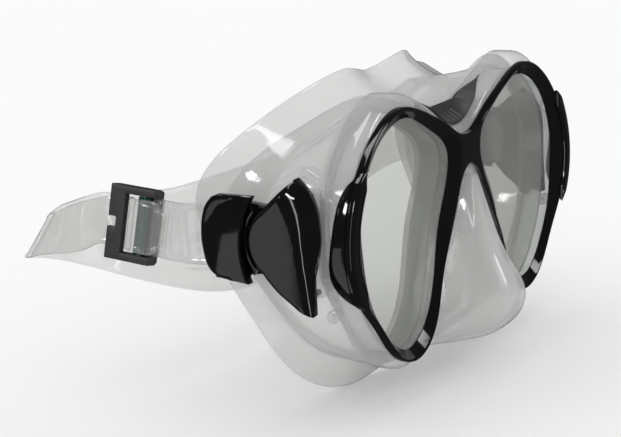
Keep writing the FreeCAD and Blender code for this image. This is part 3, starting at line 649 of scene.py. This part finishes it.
def bridge_grip():
    """Scoop over the bridge: low in front, level behind, pointed at both ends, ribbed across."""
    reach, crest, tip_place = 24.0, 16.1, 7.6
    rib_height, rib_middle, rib_pitch, ribs_half = 0.6, 1, 2.1, 5.8
    bed = spline(GRIP_UNDER, 141)
    shoulder = rounded(SHOULDER)
    along = np.linspace(0, 1, 15)
    sections = []
    for x in np.linspace(-reach, reach, 241):
        low = np.interp(x, bed[:, 0], bed[:, 1])
        wide = ease((reach - abs(x)) / 11)
        fore = tip_place - (tip_place - GRIP_FRONT - 0.1) * wide
        rear = tip_place + 0.2 + (SHELL_BACK - tip_place - 0.25) * wide
        y = fore + (rear - fore) * along
        under = low + 0.04 - shoulder(y - SHELL_FRONT)
        back = low + 0.25 + (max(crest, low + 0.9) - low - 0.25) * wide
        start = under[0] + 0.25 + 0.25 * wide
        top = start + (back - start) * along ** 1.5
        ribbed = abs(x - rib_middle) < ribs_half
        rib = rib_height * max(0.0, math.cos(2 * math.pi * (x - rib_middle) / rib_pitch)) * ribbed
        top = np.maximum(top + rib * between(along, 0, 0.66, 0.12), under + 0.2)
        top[-1] -= 0.35 * wide
        sections.append([(x, a, b) for a, b in zip(y, top)]
                        + [(x, a, b) for a, b in zip(y[::-1], under[::-1])])
    return piece("bridge_grip_saddle", sweep(sections), GRIP, "mask_body",
                 ["bridge_grip"], sharp=40)


def side_clip(side, hand):
    """Wedge hooked over the bezel's temple: a front lip, a rounded corner and a tapering side."""
    rim = turned(BEZEL_LOOP, side > 0)
    temple = rim[(side * rim[:, 0] > 55) & (rim[:, 1] < 9.3) & (rim[:, 1] > -31.3)]
    temple = temple[np.argsort(temple[:, 1])]
    temple = spline(temple[::3], 110)
    ahead = np.gradient(temple, axis=0)
    out = unit(np.stack([ahead[:, 1], -ahead[:, 0]], 1)) * side
    profile = spline(CLIP_SIDE, 200)
    depth = np.interp(temple[:, 1], profile[::-1, 1], profile[::-1, 0])
    sections = []
    for k, (spot, normal, rear) in enumerate(zip(temple, out, depth)):
        taper = min(1.0, math.sin(math.pi * (k + 0.5) / len(temple)) * 3.2)
        wall, lap = 0.15 + 2.2 * (0.35 + 0.65 * taper), -2.6 * taper
        rear = max(rear, -0.5)
        groove = 0.3 * taper
        bow = [(wall - 0.6 * share ** 2, min(1.75, rear) + max(0, rear - 0.4 - 1.75) * share)
               for share in (1.0, 0.8, 0.6, 0.4, 0.2, 0.0)]
        section = [(0.15, rear), (max(wall - 1.0, 0.2), rear), *bow, (wall - groove, min(1.55, rear)),
                   (wall - groove, min(1.1, rear)), (wall, min(0.9, rear)), (wall, -0.1),
                   (wall - 0.3, -0.65), (wall - 0.9, -0.95), (0.3, -0.98), (lap * 0.45, -0.98),
                   (lap * 0.5, -0.72), (lap * 0.75, -0.72), (lap * 0.8, -0.9), (lap - 0.2, -0.8),
                   (lap - 0.4, -0.3), (lap - 0.4, -0.05), (0.15, -0.05)]
        sections.append([(spot[0] + normal[0] * away, y, spot[1] + normal[1] * away)
                         for away, y in section])
    return piece(f"{hand}_clip_shell", sweep(sections), BLACK_GLOSS, "mask_body",
                 [f"{hand}_side_clip"])


# ---- skirt and nose pocket
AROUND = 260


def outward(points):
    """Directions away from the middle of the face, without their Y part."""
    away = points - FACE_MIDDLE
    away[..., 1] = 0
    return unit(away)


def sheet_normals(along, across, away):
    """Unit normals of a sheet from its two directions, on the side that away points to."""
    normal = unit(np.cross(along, across))
    return normal * np.sign((normal * away).sum(-1).mean())


def skirt_rows():
    """Closed rows of the wall's outside: from the root to the crease, then out along the flange."""
    root, crease, edge = (spline(mirrored(line), AROUND, closed=True)
                          for line in (SKIRT_ROOT, SKIRT_CREASE, SKIRT_EDGE))
    wall_bulge, flange_dip = outward(root) * 1.3, outward(root) * 0.9
    rows = []
    for share in np.linspace(0, 1, 12):
        rows.append(root + (crease - root) * share + wall_bulge * math.sin(math.pi * share))
    for share in np.linspace(0, 1, 16)[1:]:
        rows.append(crease + (edge - crease) * share
                    - flange_dip * math.sin(math.pi * share) * (1 - 0.5 * share))
    rows = np.array(rows)
    for _ in range(2):
        rows[1:-1] = (rows[:-2] + 2 * rows[1:-1] + rows[2:]) / 4
    return rows


def thick_wall(rows, thickness):
    """A closed wall inside a band of rows, with a rounded free edge."""
    normal = sheet_normals(np.roll(rows, -1, 1) - np.roll(rows, 1, 1), np.gradient(rows, axis=0),
                           outward(rows))
    inner = rows - normal * np.asarray(thickness)[:, None, None]
    rim = (rows[-1] + inner[-1]) / 2 + unit(rows[-1] - rows[-2]) * 0.5 * thickness[-1]
    section = np.concatenate([rows, rim[None], inner[::-1]])
    return sweep(np.moveaxis(section, 0, 1), closed=True)


def skirt():
    """Clear silicone: a gasket behind each lens, a web, the wall and flange, and an inner lip."""
    rows = skirt_rows()
    wall = thick_wall(rows, np.linspace(2.0, 1.1, len(rows)))
    outline, *openings = face_loops("skirt", WEB_FRONT)
    lenses = sorted(LENS_LOOPS, key=lambda loop: loop[:, 0].mean())
    nose = [loop for loop in openings if abs(loop[:, 0].mean()) < 5]
    edge = rounded(0.5)
    web = plate(outline, [*lenses, *nose], -WEB_FRONT, -WEB_BACK,
                lambda away, spots: edge(away[1:].min(0)), to_front, (0.2, 0.5, 1.2), 4.0)
    gaskets = []
    for loop in lenses:
        inner, outer = turned(loop, True), offset(turned(loop, True), -1.4)
        section = [(inner, LENS_BACK + 0.1), (inner, WEB_FRONT - 2.2), (inner, WEB_FRONT + 0.2),
                   (outer, WEB_FRONT + 0.2), (outer, LENS_BACK + 0.1)]
        rings = np.array([to_front(l[:, 0], l[:, 1], np.full(len(l), -y)) for l, y in section])
        gaskets.append(sweep(np.moveaxis(rings, 0, 1), closed=True))
    return piece("face_skirt", joined(wall, web, *gaskets, inner_lip(rows)), SILICONE, "mask_body",
                 ["skirt"], sharp=60)


def inner_lip(rows):
    """Second seal: a thin flap inside the flange, from the crease towards the face."""
    crease, edge = rows[11], rows[-1]
    root_gap, edge_gap, length = 2.2, 7.5, 0.72
    lines = [crease + (edge - crease) * share * length
             - outward(edge) * (root_gap + (edge_gap - root_gap) * share ** 1.4)
             for share in np.linspace(0, 1, 9)]
    return thick_wall(np.array(lines), np.linspace(1.2, 0.7, len(lines)))


def pocket_section(half_back, half_front, front, back):
    """One U-shaped level of the nose pocket, open to the back."""
    half = [(half_back + (half_front - half_back) * narrowed, back + (front - back) * forward)
            for narrowed, forward in ((0, 0), (0.42, 0.4), (0.8, 0.78))]
    half += [(half_front * 0.75, front + 0.5), (0, front)]
    return spline(half + [(-x, y) for x, y in reversed(half[:-1])], 33)


def nose_pocket():
    """Soft nose: a lofted U with a flute down each side, a wall and a rounded bottom."""
    thickness, flute = 1.6, 0.9
    rows = []
    for z, half_back, half_front, front in spline(POCKET_LEVELS, 41):
        section = pocket_section(half_back, half_front, front, WEB_FRONT + 0.4)
        across = np.linspace(-1, 1, len(section))
        ridge = flute * hump(np.abs(across), 0.36, 0.07) * ease((z + 62) / 10) * ease(-z / 20)
        out = np.stack([np.sign(across) * 0.8, np.full(len(across), -0.6)], 1)
        section = section + out * ridge[:, None]
        rows.append(np.stack([section[:, 0], section[:, 1], np.full(len(section), z)], 1))
    lowest = rows[-1]
    centre = np.array([0, 6.0, lowest[0][2]])
    for share in (0.93, 0.78, 0.5, 0.2):
        ring = centre + (lowest - centre) * share
        ring[:, 2] = lowest[0][2] - 0.7 * math.sqrt(1 - share ** 2)
        rows.append(ring)
    outer = np.array(rows)
    normal = sheet_normals(np.gradient(outer, axis=1), np.gradient(outer, axis=0),
                           outer - np.array([0, 14.0, -36.0]))
    points, faces = joined(grid(outer), grid(outer - normal * thickness))
    high, wide = outer.shape[:2]
    count = high * wide
    border = list(range(wide)) + [r * wide + wide - 1 for r in range(1, high)] \
        + [(high - 1) * wide + j for j in range(wide - 2, -1, -1)] \
        + [r * wide for r in range(high - 2, 0, -1)]
    for a, b in zip(border, border[1:] + border[:1]):
        faces.append((a, b, b + count, a + count))
    return piece("nose_pocket_shell", (points, faces), SILICONE, "mask_body",
                 ["nose_pocket"], sharp=60)


# ---- strap arms
def pod_outline():
    up, rear = polar(PIVOT, POD_RADIUS, POD_UP), polar(PIVOT, POD_RADIUS, 0)
    down = polar(PIVOT, POD_RADIUS, POD_DOWN)
    front = spline(POD_FRONT, 72)
    return np.array(straight(tuple(front[-1]), up) + arc(up, rear, down)
                    + arc(down, POD_LOWER, tuple(front[0])) + [tuple(spot) for spot in front[:-1]])


def set_back(y, depth):
    """A pod's front edge moved back, fading out towards its middle."""
    return y + depth * np.clip((20 - y) / 8, 0, 1)


def base_depth(z):
    """How far the base's front edge sits back: more towards its lower tip."""
    return BASE_UNDERCUT * (1 + 1.1 * ease((-15 - z) / 12))


def pod_levels(y, z):
    """A pod cover's underside and outer face, which bows away to the front and the top."""
    level, flat_front, steepness = -15, 15.0, 0.144
    above, below = np.clip(z - level, 0, None), np.clip(level - z, 0, None)
    start = flat_front + 0.018 * above ** 2 - 0.12 * below
    reach = start - np.interp(z, *np.array(POD_FRONT).T[::-1])
    bow = np.minimum(POD_BOW, steepness * reach ** 2)
    face = COVER_OUT - bow * np.clip((start - y) / reach, 0, None) ** 2
    return np.minimum(COVER_IN, face - COVER_EDGE), face


def pod_cover(side, hand):
    """Teardrop cover: bevelled but for its front edge, with a face that bows away to the front."""
    lay, drop = to_side(side), bevelled(0.35, 0.7, width=1.4, depth=1.2, start=14, fade=5)

    def place(y, z, height):
        rise = (height - COVER_IN) / (COVER_OUT - COVER_IN)
        low, face = pod_levels(y, z)
        return lay(set_back(y, COVER_UNDERCUT * (1 - rise)), z, low + (face - low) * rise)
    steps = (0.12, 0.25, 0.4, 0.8, 1.2, 1.45, 1.8, 2.3, 2.9)
    shape = plate(pod_outline(), [], COVER_OUT, COVER_IN, drop, place, steps, 0.7)
    return piece(f"{hand}_pod_shell", shape, BLACK_GLOSS, "mask_body",
                 [f"{hand}_pod_cover"], sharp=38)


def pod_base(side, hand):
    """Base under the cover: a plate, and a front wall that leaves room for the neck to swing."""
    floor_top, room = BASE_IN + 1.6, 8.5
    lay = to_side(side)

    def floor_place(y, z, height):
        return lay(set_back(y, base_depth(z)), z, height)

    def under_cover(away, spots):
        return COVER_IN - pod_levels(spots[:, 0], spots[:, 1])[0]
    front = spline(POD_FRONT, 60)
    front[:, 0] = set_back(front[:, 0], base_depth(front[:, 1]))
    swing = [polar(PIVOT, room, angle) for angle in np.linspace(116, 244, 40)]
    floor = plate(pod_outline(), [], floor_top, BASE_IN, flat_top, floor_place, (0.4, 1.2), 2.5)
    wall = plate(np.vstack([front, swing]), [], COVER_IN - 0.1, floor_top - 0.1, under_cover, lay,
                 (0.5,), 2.5)
    return piece(f"{hand}_pod_base_shell", joined(floor, wall), BLACK_GLOSS, "mask_body",
                 [f"{hand}_pod_base"], sharp=25)


def cap_outline():
    rear = [tuple(spot) for spot in spline(CAP_REAR, 84)]
    return np.array(rear[:-1] + arc(rear[-1], CAP_FRONT, rear[0]))


def cap_shell(side, hand, body):
    """Half-round cap: a plate that bows away to the rear and the top, with a rail above and below."""
    hollow, flat_rear, deepest_sag = 1.5, 37.5, 1.6
    base = CAP_IN + hollow
    lay = to_side(side)
    drop = bevelled(0.45, 0.6, width=1.3, depth=0.8, start=flat_rear, fade=3)

    def place(y, z, height):
        rise = (height - base) / (CAP_OUT - base)
        above = np.clip(z + 12.5, 0, None)
        start = flat_rear - 0.35 * np.clip(z + 19, 0, None)
        sag = 0.007 * np.clip(y - start, 0, None) ** 2 + 0.0065 * above ** 2
        return lay(y, z, height - np.minimum(sag, deepest_sag) * rise)
    steps = (0.12, 0.3, 0.8, 1.3, 1.5, 2.2, 3.2, 4.6)
    top = plate(cap_outline(), [], CAP_OUT, base, drop, place, steps, 1.8)
    rails = []
    for near, far in ((0.4, 2.0), (-20.0, -21.6)):
        outline = np.array([(33.5, near), (33.5, far), (41.0, far), (43.6, near)])
        rails.append(plate(even(outline, 0.7), [], base + 0.1, CAP_IN, flat_top, lay, (0.3,), 2.0))
    return piece(f"{hand}_cap_shell", joined(top, *rails), BLACK_GLOSS, body,
                 [f"{hand}_buckle_cap"], sharp=22)


def neck_rings(side, hand, body):
    """Stepped rings round the pivot, between the pod and the cap."""
    foot, soft, half_angle = 80.4, 0.25, 43
    shapes = []
    for inner, outer, top in ((12.75, 13.75, 83.7), (13.95, 14.75, 83.1), (14.95, 15.6, 82.5)):
        section = [(inner, foot), (outer, foot), (outer, top - soft), (outer - soft, top),
                   (inner + soft, top), (inner, top - soft)]
        shapes.append(sweep([[(side * x, *polar(PIVOT, radius, angle)) for radius, x in section]
                             for angle in np.linspace(-half_angle, half_angle, 44)]))
    return piece(f"{hand}_neck_rings", joined(*shapes), BLACK_GLOSS, body)


# ---- link, slider, strap
def band_frame(path, place=None):
    """Low edge, high edge and inward normal of a band at each (x, y, low z, high z, lean)."""
    rows = []
    for k, (x, y, low, high, lean) in enumerate(path):
        behind, ahead = path[max(k - 1, 0)], path[min(k + 1, len(path) - 1)]
        along = np.array([ahead[0] - behind[0], ahead[1] - behind[1]])
        normal = np.array([along[1], -along[0], 0]) / np.linalg.norm(along)
        ends = np.array([x, y + lean, low]), np.array([x, y - lean, high])
        if place is not None:
            ends = placed(ends, place)
            normal = np.array(place.to_3x3() @ Vector(normal))
        rows.append(np.concatenate([*ends, normal]))
    return rows


def shares(across, lines=(), reach=0.02):
    """Places across a band from 0 to 1, closer together about each line."""
    near = [line + reach * step for line in lines for step in (-1.5, -1, -0.5, 0, 0.5, 1, 1.5)]
    plain = [place for place in np.linspace(0, 1, across)
             if all(abs(place - line) > reach * 1.7 for line in lines)]
    return np.array(sorted(plain + near))


def band(frames, count, wall, relief, share):
    """A moulded band: relief(run, share) raises its outer and inner faces, in millimetres."""
    rows = spline(frames, count)
    low, high, normal = rows[:, :3], rows[:, 3:6], unit(rows[:, 6:])
    middle = (low + high) / 2
    run = np.concatenate([[0], np.cumsum(np.linalg.norm(np.diff(middle, axis=0), axis=1))])
    edge = 1 - np.abs(2 * share - 1)
    rounding = np.sqrt(1 - (1 - np.clip(edge * 12, 0, 1)) ** 2)
    sections = []
    for k in range(count):
        line = low[k] + (high[k] - low[k]) * share[:, None]
        outside, within = relief(run[k], share, run[-1])
        face = line - normal[k] * ((wall / 2 + outside) * rounding)[:, None]
        back = line + normal[k] * ((wall / 2 + within) * rounding)[:, None]
        sections.append(np.concatenate([face, back[-2:0:-1]]))
    return sweep(sections)


def lathe(stations, centre, count, place=None):
    """A ring: a closed profile of (radius, Z), turned about an upright line at (X, Y)."""
    rings = []
    for radius, z in stations:
        ring = [(centre[0] + radius * math.cos(t), centre[1] + radius * math.sin(t), z)
                for t in np.linspace(0, 2 * math.pi, count, endpoint=False)]
        rings.append(ring if place is None else placed(ring, place))
    return sweep(rings, closed=True)


def tube(centre, outer, bore, low, high, place=None, count=24):
    """A round sleeve along Z, with softened outer edges."""
    soft = 0.2
    return lathe([(outer - soft, low), (outer, low + soft), (outer, high - soft),
                  (outer - soft, high), (bore, high), (bore, low)], centre, count, place)


def link_relief(run, share, total):
    """Beads along both edges, a groove across, and ribs across near the slider."""
    bead = 0.5 * (hump(share, 0.07, 0.03) + hump(share, 0.93, 0.03))
    ribs = sum(0.6 * hump(run, at, 0.35) for at in (12.0, 14.5, 17.5, 19.0))
    groove = 0.7 * hump(run, 8.5, 0.3) * between(share, 0.16, 0.84, 0.05)
    return bead + ribs * between(share, 0.1, 0.9, 0.04) - groove, 0.3 * bead


def strap_link():
    """Short ribbed tab from the right strap pin to the slider's bar, with an eye at each end."""
    low, high = PIVOT[1] - LINK_HALF, PIVOT[1] + LINK_HALF
    frames = band_frame([(x, y, low, high, 0) for x, y in LINK_PATH])
    frames += band_frame([(x, y, -LINK_REAR_HALF, LINK_REAR_HALF, 0) for x, y in LINK_END],
                         SLIDER_PLACE)
    tab = band(frames, 240, LINK_WALL, link_relief, shares(61))
    front = tube((-STRAP_PIN[0], STRAP_PIN[1]), EYE_RADIUS, STRAP_PIN_RADIUS, low, high)
    rear = tube(BAR_PLACE, 1.75, BAR_RADIUS, -LINK_REAR_HALF, LINK_REAR_HALF, SLIDER_PLACE)
    return piece("strap_link_band", joined(tab, front, rear), LINK_SILICONE, "right_arm",
                 ["strap_link"], sharp=60)


def box_shape(low, high, place):
    square = ((low[0], low[1]), (high[0], low[1]), (high[0], high[1]), (low[0], high[1]))
    corners = [(x, y, z) for z in (low[2], high[2]) for x, y in square]
    faces = [(0, 3, 2, 1), (4, 5, 6, 7), (0, 1, 5, 4), (1, 2, 6, 5), (2, 3, 7, 6), (3, 0, 4, 7)]
    return placed(corners, place), faces


def slider_frame():
    """C-shaped frame: cheeks, a notched slab outside, a foot, a floor, and a bar for the link."""
    half, cheek, front, rear = 11.5, 2.4, -8.5, 8
    window, notch, notch_half = 2.2, 4.8, 1.6

    def slab_place(y, z, height):
        return placed(np.stack([-height, y, z], 1), SLIDER_PLACE)
    outline = [(front, half), (rear, half), (rear, notch_half), (notch, notch_half),
               (notch, -notch_half), (rear, -notch_half), (rear, -half), (front, -half),
               (front, -half + cheek), (window, -half + cheek), (window, half - cheek),
               (front, half - cheek)]
    loop = []
    for a, b in zip(outline, outline[1:] + outline[:1]):
        loop += straight(a, b, 0.7)
    shapes = [plate(loop, [], 3.0, 0.8, round_outside(0.5), slab_place, (0.12, 0.3, 0.5), 1.6)]
    for z in (-half, half - cheek):
        outline = np.array([(front, z), (rear, z), (rear, z + cheek), (front, z + cheek)])
        shapes.append(plate(even(outline, 0.55), [], -0.7, -1.9, flat_top, slab_place,
                            (0.25, 0.5), 1.5, round_outside(0.5)))
        shapes.append(box_shape((-1.2, front, z), (1.0, rear, z + cheek), SLIDER_PLACE))
    shapes.append(box_shape((1.1, 5.5, -half + 0.3), (1.9, 7.9, half - 0.3), SLIDER_PLACE))
    shapes.append(box_shape((2.05, -5.4, -half + 0.1), (2.6, -1.0, half - 0.1), SLIDER_PLACE))
    shapes.append(tube(BAR_PLACE, BAR_RADIUS - 0.02, 0.1, -half + 0.5, half - 0.5, SLIDER_PLACE, 20))
    return piece("slider_frame_shell", joined(*shapes), BLACK_MATTE, "right_arm",
                 ["slider_frame"])


def slider_roller():
    """Grooved roller with a plain collar at each end."""
    half, radius, bore, collar, soft = 8.8, 1.9, 0.95, 1.6, 0.25
    groove_depth, groove_pitch = 0.12, 1.56
    stations = [(radius - soft, -half), (radius, -half + soft), (radius, -half + collar)]
    for z in np.linspace(-half + collar + 0.3, half - collar - 0.3, 41):
        stations.append((radius - groove_depth * (1 - math.cos(2 * math.pi * z / groove_pitch)) / 2, z))
    stations += [(radius, half - collar), (radius, half - soft), (radius - soft, half),
                 (bore, half), (bore, -half)]
    shape = lathe(stations, ROLLER_PLACE, 32, SLIDER_PLACE)
    return piece("slider_roller_body", shape, ROLLER, "roller", ["slider_roller"])


PAD_RIDGES, RIDGE_WIDTH = (0.2, 0.26, 0.46, 0.52, 0.74, 0.8), 0.011


def strap_relief(run, share, total):
    """Ribs across the free tail, beads on the edges, and ridges on the rear pad."""
    bead = 0.3 * (hump(share, 0.06, 0.04) + hump(share, 0.94, 0.04))
    rib_pitch = 5.0
    phase = (run - 30) / rib_pitch
    rib = 0.5 * hump(phase * rib_pitch, np.round(phase) * rib_pitch, 0.5)
    rib = rib * between(share, 0.08, 0.92, 0.05) * between(run, 27, 58, 3)
    pad = between(run / total, 0.36, 0.8, 0.08)
    ridges = 0.8 * sum(hump(share, at, RIDGE_WIDTH) for at in PAD_RIDGES)
    hollow = 0.35 * between(share, 0.3, 0.7, 0.04)
    return bead + rib + pad * ridges, bead + pad * (ridges - hollow)


def strap():
    """Silicone strap: free end, round the roller, back, round the head and on to the left pin."""
    half = 0.9 * STRAP_WIDTH / 2
    end = [(x, y, -half, half, 0) for x, y in STRAP_END]
    end[0] = (*STRAP_END[0], -half / 2, half / 2, 0)
    head = [(x, y, middle - width / 2, middle + width / 2, lean)
            for x, y, middle, width, lean in STRAP_PATH]
    frames = band_frame(end, SLIDER_PLACE) + band_frame(head)
    body = band(frames, 620, STRAP_WALL, strap_relief, shares(31, PAD_RIDGES, RIDGE_WIDTH))
    sleeve = tube(STRAP_PIN, EYE_RADIUS, STRAP_PIN_RADIUS + 0.05, PIVOT[1] - LINK_HALF,
                  PIVOT[1] + LINK_HALF)
    return piece("head_strap", joined(body, sleeve), STRAP_SILICONE, "right_arm",
                 ["strap"], sharp=60)


# ---- stage
def floor_sheet():
    """A plain pale sheet under the mask."""
    n = Nodes("floor_paper")
    shader = n.add("ShaderNodeBsdfDiffuse", {
        "Color": n.shades(n.noise(8, 2), (0.95, 0.95, 0.95), (0.97, 0.97, 0.97))})
    mesh = bpy.data.meshes.new("floor")
    reach, level = 3.0, cad_low.z
    corners = [(-reach, -reach, level), (reach, -reach, level), (reach, reach, level),
               (-reach, reach, level)]
    mesh.from_pydata(corners, [], [(0, 1, 2, 3)])
    mesh.materials.append(n.done(shader.outputs[0]))
    obj = added("floor", mesh)
    obj.visible_glossy = False


def soft_box(name, place, aim, size, watts):
    """A soft lamp unseen by matt surfaces, which the white surroundings light."""
    lamp = bpy.data.lights.new(name, "AREA")
    lamp.shape = "RECTANGLE"
    lamp.size, lamp.size_y = size
    lamp.energy = watts
    obj = added(name, lamp)
    obj.location = place
    obj.rotation_euler = (Vector(aim) - Vector(place)).to_track_quat("-Z", "Y").to_euler()
    obj.visible_diffuse = False
    return obj


def card(name, place, aim, size, brightness):
    """A pale card seen only in glossy surfaces."""
    obj = soft_box(name, place, aim, size, math.pi * size[0] * size[1] * brightness)
    obj.visible_camera = obj.visible_transmission = False


def studio():
    """White surroundings, dark only to glossy surfaces, with soft lamps and two cards."""
    n = Nodes("studio", "World")
    plain, dim = (n.add("ShaderNodeBackground", {"Color": (grey, grey, grey, 1)}).outputs[0]
                  for grey in (1, 0.07))
    glossy = n.add("ShaderNodeLightPath").outputs["Is Glossy Ray"]
    bpy.context.scene.world = n.done(n.mixed(glossy, plain, dim))
    for name, place, width, watts in (("overhead", (-0.1, 0.1, 0.9), 0.5, 4.0),
                                      ("left_front", (-0.9, -0.35, 0.55), 0.16, 2.0),
                                      ("right_front", (0.5, -0.9, 0.5), 0.3, 2.0),
                                      ("left_rear", (-0.75, 0.6, 0.45), 0.14, 1.5)):
        soft_box(name, place, (0, 0.03, 0), (width, width), watts)
    card("arm_card", (-0.1841, 0.1072, -0.1076), (-0.0617, 0.029, -0.0701), (0.050, 0.17), 0.85)
    card("front_strip", (-0.6, -0.16, 0.02), (0, 0, -0.01), (0.05, 0.7), 6.0)


def place_camera():
    azimuth, elevation, roll = (math.radians(a) for a in (-58.57, 13.54, -3.47))
    away, leftward, downward = 0.54058, 0.05248, 0.00595
    back = Vector((math.sin(azimuth) * math.cos(elevation), -math.cos(azimuth) * math.cos(elevation),
                   math.sin(elevation)))
    level = Vector((math.cos(azimuth), math.sin(azimuth), 0))
    upright = back.cross(level)
    right = level * math.cos(roll) + upright * math.sin(roll)
    up = upright * math.cos(roll) - level * math.sin(roll)
    target = Vector((0, 0, -0.015))
    data = bpy.data.cameras.new("camera")
    data.sensor_width, data.lens = 36, 96.92
    camera = added("camera", data)
    turn = Matrix((right, up, back)).transposed().to_4x4()
    turn.translation = target + back * away - right * leftward - up * downward
    camera.matrix_world = turn
    bpy.context.scene.camera = camera


# ---- the mask
front_bezel()
clear_frame()
bridge_grip()
skirt()
nose_pocket()
for node in ("left_lens", "right_lens"):
    repaint(node, GLASS)
for side, hand, arm in ((1, "left", "left_arm"), (-1, "right", "right_arm")):
    side_clip(side, hand)
    pod_cover(side, hand)
    cap_shell(side, hand, arm)
    neck_rings(side, hand, arm)
    pod_base(side, hand)
    repaint(f"{hand}_swivel_neck", BLACK_GLOSS, 0.25)
    repaint(f"{hand}_pod_screws", STEEL)
    repaint(f"{hand}_swivel_pin", DARK_STEEL)
    repaint(f"{hand}_strap_pin", STEEL)
strap_link()
slider_frame()
slider_roller()
repaint("slider_roller_pin", STEEL)
strap()

floor_sheet()
studio()
place_camera()
bpy.context.scene.view_settings.view_transform = "Standard"
bpy.context.scene.cycles.transparent_max_bounces = 48
